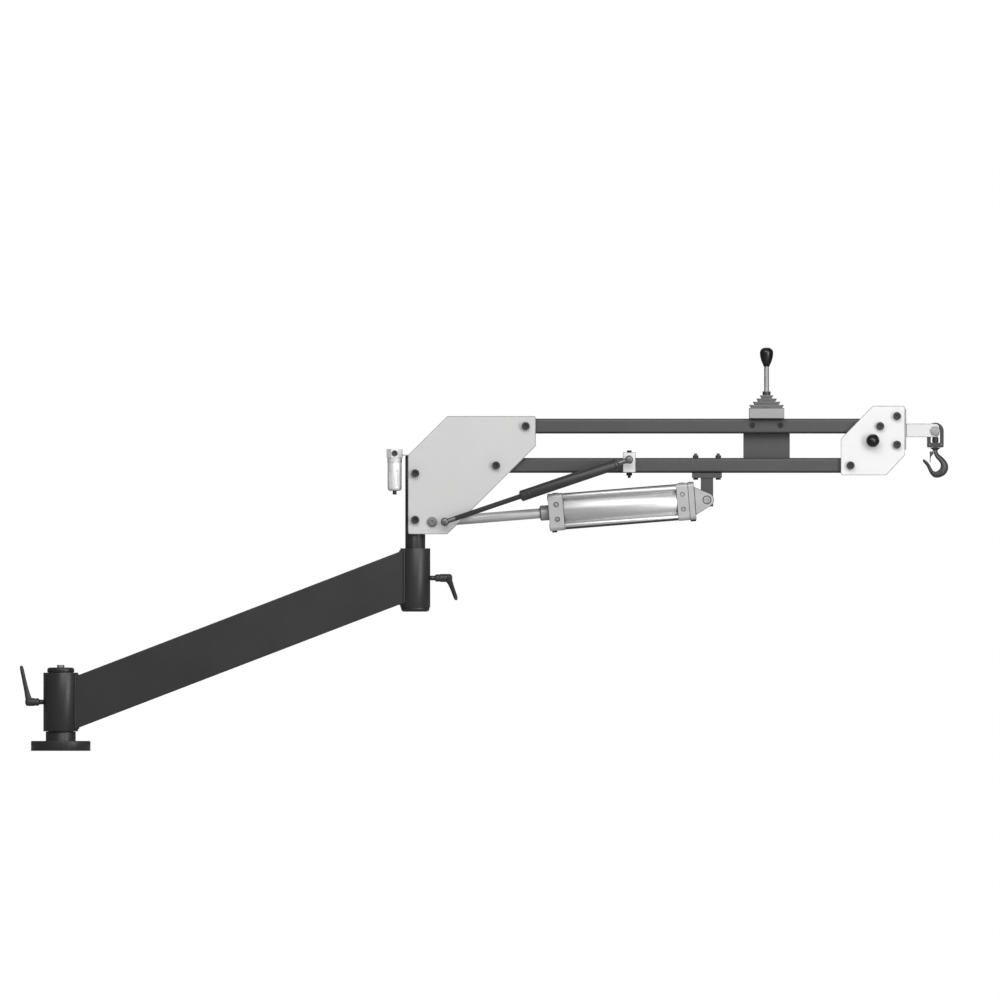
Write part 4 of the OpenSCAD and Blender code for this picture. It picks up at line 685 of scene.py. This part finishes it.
def forging():
    """The hook's body, from the neck to the rounded tip."""
    inner = spline([(x, 0, z) for x, z in HOOK_INNER], HOOK_RINGS)
    outer = spline([(x, 0, z) for x, z in HOOK_OUTER], HOOK_RINGS)
    thick = spline([(t, 0, 0) for t in HOOK_THICK], HOOK_RINGS)
    rings = []
    for a, b, t in zip(inner, outer, thick):
        middle, half = (a + b) / 2, (b - a) / 2
        # u is -1 at the throat and 1 outside
        rings.append([middle + half * u + ACROSS * (t.x * v * (1 - HOOK_TAPER * u))
                      for u, v in squared(HOOK_POINTS, HOOK_POWER)])
    tip = (inner[-1] + outer[-1]) / 2
    lead = (tip - (inner[-4] + outer[-4]) / 2).normalized()
    last = rings[-1]
    for step, share in HOOK_TIP:
        rings.append([tip + lead * step + (p - tip) * share for p in last])
    return bridged(rings)


def hook():
    """The hook with its shank, nut and collar, the latch's pin and springs, and the bow's rivets."""
    shank = turned(SHANK, (hook_x, 0, swivel_z + SHANK_Z), UP, 40)
    nut = turned(SHANK_NUT, (hook_x, 0, swivel_z + NUT_Z), UP)
    collar = turned(SHANK_COLLAR, (hook_x, 0, swivel_z + COLLAR_Z), UP, 40)
    shape = join(forging(), shank, nut, collar)
    piece("hook_forging", shape, "cast_hook", "hook", sharp=42, hides=("hook",))
    pin = turned(LATCH_PIN, (latch_x, -PIN_HALF, latch_z), ACROSS, 20)
    piece("latch_pin", pin, "zinc", "hook", sharp=40)
    for side, label in ((-1, "near"), (1, "far")):
        wire = [(latch_x + x, side * y, latch_z + z) for x, y, z in COIL_LEG]
        for k in range(COIL_STEPS):
            a = math.tau * k / COIL_TURN
            wire.append((latch_x + COIL_R * math.cos(a), side * (COIL_Y - COIL_IN * k),
                         latch_z + COIL_R * math.sin(a)))
        piece(f"latch_spring_{label}", swept(wire, COIL_WIRE, 8), "steel", "latch", sharp=80)
    heads = []
    for x in RIVET_X:
        for side in (-1, 1):
            at = (hook_x + x, side * RIVET_Y, swivel_z + RIVET_Z)
            heads.append(turned(RIVET_HEAD, at, (0, side, 0), 24))
    piece("bow_rivets", join(*heads), "zinc", "hook_bow", sharp=70, look="dark_zinc")


# Guide knob: a glossy ball on a collar with a screwed shank

GUIDE_AT = (1624.2, -28.0, 620.5)
# Distance towards the viewer, and radius
GUIDE_SHANK = [(-8.0, 0.0), (-8.0, 4.0), (0.0, 4.0), (0.0, 6.5), (0.6, 7.0), (3.6, 7.0), (4.2, 6.4),
               (5.0, 6.2)]
# The ball's arc starts this many degrees from its tip, at the collar
BALL_R, BALL_MIDDLE, BALL_START, BALL_STEPS = 13.4, 18.0, 151, 32


def guide_knob():
    ball = list(GUIDE_SHANK)
    for k in range(BALL_STEPS + 1):
        a = math.radians(BALL_START - BALL_START * k / BALL_STEPS)
        ball.append((BALL_MIDDLE + BALL_R * math.cos(a), BALL_R * math.sin(a)))
    piece("guide_ball", turned(ball, GUIDE_AT, (0, -1, 0), 64), "black_plastic", "head",
          sharp=50, hides=("guide_knob",))


# Weld beads where the beam meets the hubs

BEAM_HALF = 20.0
# Heights of the beam's lower and upper side at the lower and at the upper hub
BEAM_LOW = (45.9, 293.2)
BEAM_TOP = (151.5, 399.2)
BEAD_R, BEAD_RIPPLE, BEAD_PITCH, BEAD_STEP = 2.3, 0.10, 3.6, 2.0


def along_beam(x, ends):
    """The height at x of a line between the hubs' walls."""
    start, end = low_hub_r, mast_x - high_hub_r
    return ends[0] + (ends[1] - ends[0]) * (x - start) / (end - start)


def bead(hub_x, radius, side):
    """The closed line where the beam's box meets a hub, as a rippled bead."""
    across = [BEAM_HALF * math.sin(math.radians(a)) for a in range(-90, 91, 10)]
    line = []
    for ends, row in ((BEAM_TOP, across), (BEAM_LOW, across[::-1])):
        for y in row:
            x = hub_x + side * math.sqrt(radius ** 2 - y ** 2)
            line.append((x, y, along_beam(x, ends)))
    line = resample(line + [line[0]], BEAD_STEP)[:-1]
    return swept(line, BEAD_R, 10, closed=True, ripple=BEAD_RIPPLE, pitch=BEAD_PITCH)


def weld_beads():
    beads = join(bead(0.0, low_hub_r, 1), bead(mast_x, high_hub_r, -1))
    piece("weld_beads", beads, "charcoal_paint", "lower_arm", sharp=180)


# Air cylinder: rod wiper, nose sleeve, cap screws and pads, seals, and dark strips on the tube's lobes that are
# painted shade

# Distance along the cylinder, and radius
WIPER = [(0, 10.1), (-0.9, 10.4), (-1.4, 11.2), (-1.4, 12.4), (-0.9, 13.2), (0.2, 13.4), (0.6, 13.0),
         (0.6, 10.1)]
SLEEVE = [(0.3, 12.0), (0.3, 14.7), (0.8, 15.2), (16.2, 15.2), (16.6, 15.0), (16.6, 12.0)]
CAP_SCREW = [(0.2, 5.2), (-0.5, 5.1), (-0.9, 4.6), (-0.9, 2.7), (0.4, 2.6), (0.4, 0)]
SCREW_AT = 28.4
# A seal's section: shift along the cylinder, and half width
SEAL_ROWS = ((-0.5, 35.697), (-0.4, 36.451), (0.4, 36.451), (0.5, 35.697))
SEAL_POINTS, SEAL_POWER = 72, 9
# The middle and the radius of the tube's round lobes
LOBE_AT, LOBE_R = 29.0, 7.3
# Up or down, and the angles of a painted shade strip above or below the middle of its lobe
LOBE_SHADE_STRIPS = ((1, 50, 84), (-1, 18, 80))
# A painted shade strip's gap at the tube's ends, its rise above the lobe, and how deep its edges lie in it
SHADE_STRIP_GAP, SHADE_STRIP_RISE, SHADE_STRIP_SINK, SHADE_STRIP_STEPS = 1.2, 0.3, 0.6, 8
# Half width of a pad, and the height at which it starts inside the cap
PAD_HALF, PAD_LOW = 13, 36.9
# A pad's start and end, up or down, and its outer height. The upper pad stays low, because the
# bracket's bolts come close to it when the arm is up
PADS = ((rear_face + 0.6, rear_face + 11.4, 1, 38.8), (rear_face + 0.6, rear_face + 11.4, -1, 40.6),
        (front_face + 4, front_face + 14, -1, 40.6))


def seal(x):
    """A thin, squared ring between the tube and a cap."""
    return bridged([[on_cyl(x + dx, u * half, v * half) for u, v in squared(SEAL_POINTS, SEAL_POWER)]
                    for dx, half in SEAL_ROWS])


def lobe_shade_strip(sy, sz, low, high):
    """A thin dark strip of painted shade that wraps round a lobe from end to end. Its edges lie inside the tube.
    """
    rows = []
    for x in (tube_start + SHADE_STRIP_GAP, tube_end - SHADE_STRIP_GAP):
        row = []
        for k in range(SHADE_STRIP_STEPS + 1):
            a = math.radians(low + (high - low) * k / SHADE_STRIP_STEPS)
            r = LOBE_R + (SHADE_STRIP_RISE if 0 < k < SHADE_STRIP_STEPS else -SHADE_STRIP_SINK)
            row.append(on_cyl(x, sy * (LOBE_AT + math.cos(a) * r), sz * (LOBE_AT + math.sin(a) * r)))
        rows.append(row)
    return bridged(rows)


def pad(x0, x1, side, high):
    """A low dark pad across a cap's upper or lower face."""
    outline = ((-PAD_HALF, PAD_LOW), (PAD_HALF, PAD_LOW), (PAD_HALF, high), (-PAD_HALF, high))
    return bridged([[on_cyl(x, y, side * z) for y, z in outline] for x in (x0, x1)])


def air_cylinder():
    pads = join(*[pad(*p) for p in PADS])
    piece("cap_pads", pads, "dark_plastic", "cylinder", smooth=False, look="dark_screw")
    nose = on_cyl(nose_face, 0, 0)
    piece("nose_sleeve", turned(SLEEVE, nose, cyl_x, 64), "cast_alloy", "cylinder", sharp=40)
    # Dark strips of painted shade on the lobes' upper and lower sides
    shade_strips = [lobe_shade_strip(sy, *shade_strip) for sy in (-1, 1) for shade_strip in LOBE_SHADE_STRIPS]
    piece("lobe_shade_strips", join(*shade_strips), "dark_plastic", "cylinder", sharp=30)
    seals = join(turned(WIPER, nose, cyl_x), seal(tube_start), seal(tube_end))
    piece("rod_wiper_and_seals", seals, "dark_plastic", "cylinder", sharp=50)
    screws = [turned(CAP_SCREW, on_cyl(front_face, y, z), cyl_x, 28)
              for y in (-SCREW_AT, SCREW_AT) for z in (-SCREW_AT, SCREW_AT)]
    piece("cap_corner_screws", join(*screws), "zinc", "cylinder", sharp=50)


# Gas spring: rolled grooves, guide seal, and the ball sockets with their wire clips

# The tube's end, from the upper ball, and its length
GAS_TUBE_END, GAS_TUBE_LENGTH = 24.6, 204
ROLLS_FROM_MOUTH, ROLL_FROM_END = (6.0, 17.0), 5.0
# Distance along the spring, and radius
ROLL = [(-1.3, 10.9), (-1.0, 11.25), (0, 11.35), (1.0, 11.25), (1.3, 10.9)]
GAS_SEAL = [(0.4, 5.1), (-1.2, 5.2), (-1.8, 6.0), (-1.8, 7.0), (-0.6, 8.6), (0.3, 9.6), (0.4, 9.6)]
SOCKET_NECK = [(5.5, 4.4), (7.6, 5.1), (9.0, 5.1), (10.2, 4.8), (12.4, 5.0), (18.0, 5.05), (22.4, 5.05),
               (22.4, 0)]
# Distance away from the viewer, and radius
SOCKET_CUP = [(-7.6, 0), (-7.6, 5.0), (-7.0, 6.7), (-5.6, 7.6), (-1.0, 7.8), (5.8, 7.8), (6.2, 7.4),
              (6.2, 4.4)]
CLIP_R, CLIP_Y, CLIP_HALF_TURN, CLIP_HALF_STEPS, CLIP_WIRE = 7.9, 2.6, 120, 12, 0.55
# The clip's bent end: distance towards the viewer and back along the spring
CLIP_TAIL = ((1.5, 0.4), (3.2, 1.0))


def gas_spring():
    end = gas_length - GAS_TUBE_END
    mouth = end - GAS_TUBE_LENGTH
    places = [mouth + x for x in ROLLS_FROM_MOUTH] + [end - ROLL_FROM_END]
    rolls = [turned(ROLL, on_gas(x, 0), gas_x) for x in places]
    piece("gas_spring_rolls", join(*rolls), "black_steel", "gas_tube", sharp=60)
    lip = turned(GAS_SEAL, on_gas(mouth, 0), gas_x, 40)
    piece("gas_spring_seal", lip, "dark_plastic", "gas_tube", sharp=60)
    for body, x, way, label in (("gas_rod", 0.0, 1, "lower"), ("gas_tube", gas_length, -1, "upper")):
        cup = turned(SOCKET_CUP, on_gas(x, 0), ACROSS)
        neck = turned(SOCKET_NECK, on_gas(x, 0), gas_x * way, 40)
        piece(f"ball_socket_{label}", join(cup, neck), "zinc", body, sharp=40, look="dark_zinc")
        wire = []
        for k in range(-CLIP_HALF_STEPS, CLIP_HALF_STEPS + 1):
            a = math.radians(CLIP_HALF_TURN * k / CLIP_HALF_STEPS)
            round_ball = gas_x * (way * CLIP_R * math.cos(a)) + gas_z * (CLIP_R * math.sin(a))
            wire.append(on_gas(x, CLIP_Y) + round_ball)
        last = wire[-1]
        wire += [last - ACROSS * near - gas_x * way * back for near, back in CLIP_TAIL]
        piece(f"socket_clip_{label}", swept(wire, CLIP_WIRE, 8), "zinc", body, sharp=80, look="dark_zinc")


# Filter: a ringed port in front and behind, and a knurled drain

FILTER_X = 41.2
PORT_Y, PORT_Z = 17.2, 595.0
# Distance out of the port, and radius
PORT_RING = [(-0.4, 4.2), (0.5, 4.2), (0.9, 4.6), (0.9, 5.7), (0.4, 6.1), (-0.6, 6.1)]
KNURLS, KNURL_Z, KNURL_H, KNURL_AT_R, KNURL_R = 24, 529.0, 3.6, 4.0, 0.3


def air_filter():
    x = mast_x - FILTER_X
    rings = [turned(PORT_RING, (x, side * PORT_Y, PORT_Z), (0, side, 0), 40) for side in (-1, 1)]
    piece("filter_port_rings", join(*rings), "steel", "mast", sharp=50, look="black_steel")
    ribs = []
    for a in around(KNURLS):
        p = Vector((x + KNURL_AT_R * math.cos(a), KNURL_AT_R * math.sin(a), KNURL_Z))
        ribs.append(swept([p, p + UP * KNURL_H], KNURL_R, 6))
    piece("drain_knurl", join(*ribs), "dark_plastic", "mast", sharp=80)


clamping_levers()
joystick()
hook()
guide_knob()
weld_beads()
air_cylinder()
gas_spring()
air_filter()


# Camera, light and floor

# In metres, at 2 mm a pixel of the photograph, whose middle the camera faces
picture_width = 2.0
picture_x, picture_z = 0.8785, 0.5018
camera_data = bpy.data.cameras.new("camera")
camera_data.type = "ORTHO"
camera_data.ortho_scale = picture_width
camera_data.clip_end = 30
camera = bpy.data.objects.new("camera", camera_data)
camera.location = (picture_x, -5.0, picture_z)
camera.rotation_euler = (math.radians(90), 0, 0)
scene.collection.objects.link(camera)
scene.camera = camera
scene.view_settings.view_transform = "Standard"

# Name, place, aim, width and height, power
LAMPS = (("key", (0.9, -3.9, 2.8), (0.9, 0, 0.45), (3.6, 2.3), 116),
         ("strip", (3.1, -2.9, 0.9), (0.8, 0, 0.5), (0.7, 2.2), 58),
         ("top", (0.9, 0.6, 3.4), (0.9, 0, 0.4), (3.2, 1.0), 10),
         ("back", (0.9, 3.9, 2.2), (0.9, 0, 0.5), (4.0, 2.4), 18))
for name, at, towards, extent, power in LAMPS:
    data = bpy.data.lights.new(name, "AREA")
    data.shape = "RECTANGLE"
    data.size, data.size_y = extent
    data.energy = power
    lamp = bpy.data.objects.new(name, data)
    lamp.location = at
    lamp.rotation_euler = (Vector(towards) - Vector(at)).to_track_quat("-Z", "Y").to_euler()
    scene.collection.objects.link(lamp)

# The surroundings light the part and show in it. They are brightest above the horizon and in front,
# but the camera itself sees plain white behind the part.
# Height from straight down, 0, to straight up, 1, and grey. The ramp's own two stops come first
SKY =((0.25, 0.12), (1.0, 0.22), (0.46, 0.26), (0.56, 0.60), (0.70, 0.72), (0.84, 0.34))
world = bpy.data.worlds.new("studio")
world.use_nodes = True
scene.world = world
tree = Tree(world)
around_it = tree.nodes["Background"]
split = tree.add("ShaderNodeSeparateXYZ")
tree.join(tree.add("ShaderNodeTexCoord").outputs["Generated"], split.inputs[0])
height = tree.span(split.outputs["Z"], (-1.0, 1.0))
sky = tree.ramp(height, [(at, (v, v, v, 1)) for at, v in SKY])
tree.join(sky, around_it.inputs["Color"])
tree.join(tree.span(split.outputs["Y"], (-0.2, 0.7), (0.56, 0.24)), around_it.inputs["Strength"])
seen = tree.add("ShaderNodeBackground", Color=(1, 1, 1, 1), Strength=1.0)
choose = tree.add("ShaderNodeMixShader")
tree.join(tree.add("ShaderNodeLightPath").outputs["Is Camera Ray"], choose.inputs[0])
tree.join(around_it.outputs[0], choose.inputs[1])
tree.join(seen.outputs[0], choose.inputs[2])
tree.join(choose.outputs[0], tree.nodes["World Output"].inputs["Surface"])

floor_mesh = bpy.data.meshes.new("floor")
floor_mesh.from_pydata([(-5, -6, 0), (7, -6, 0), (7, 6, 0), (-5, 6, 0)], [], [(0, 1, 2, 3)])
floor = bpy.data.objects.new("floor", floor_mesh)
scene.collection.objects.link(floor)
floor_mesh.materials.append(surface("floor_finish", tint(196), (0.6, 0.75), vary=0.012, blotch=3,
                                    grain=260, bump=0.05, depth=0.1))
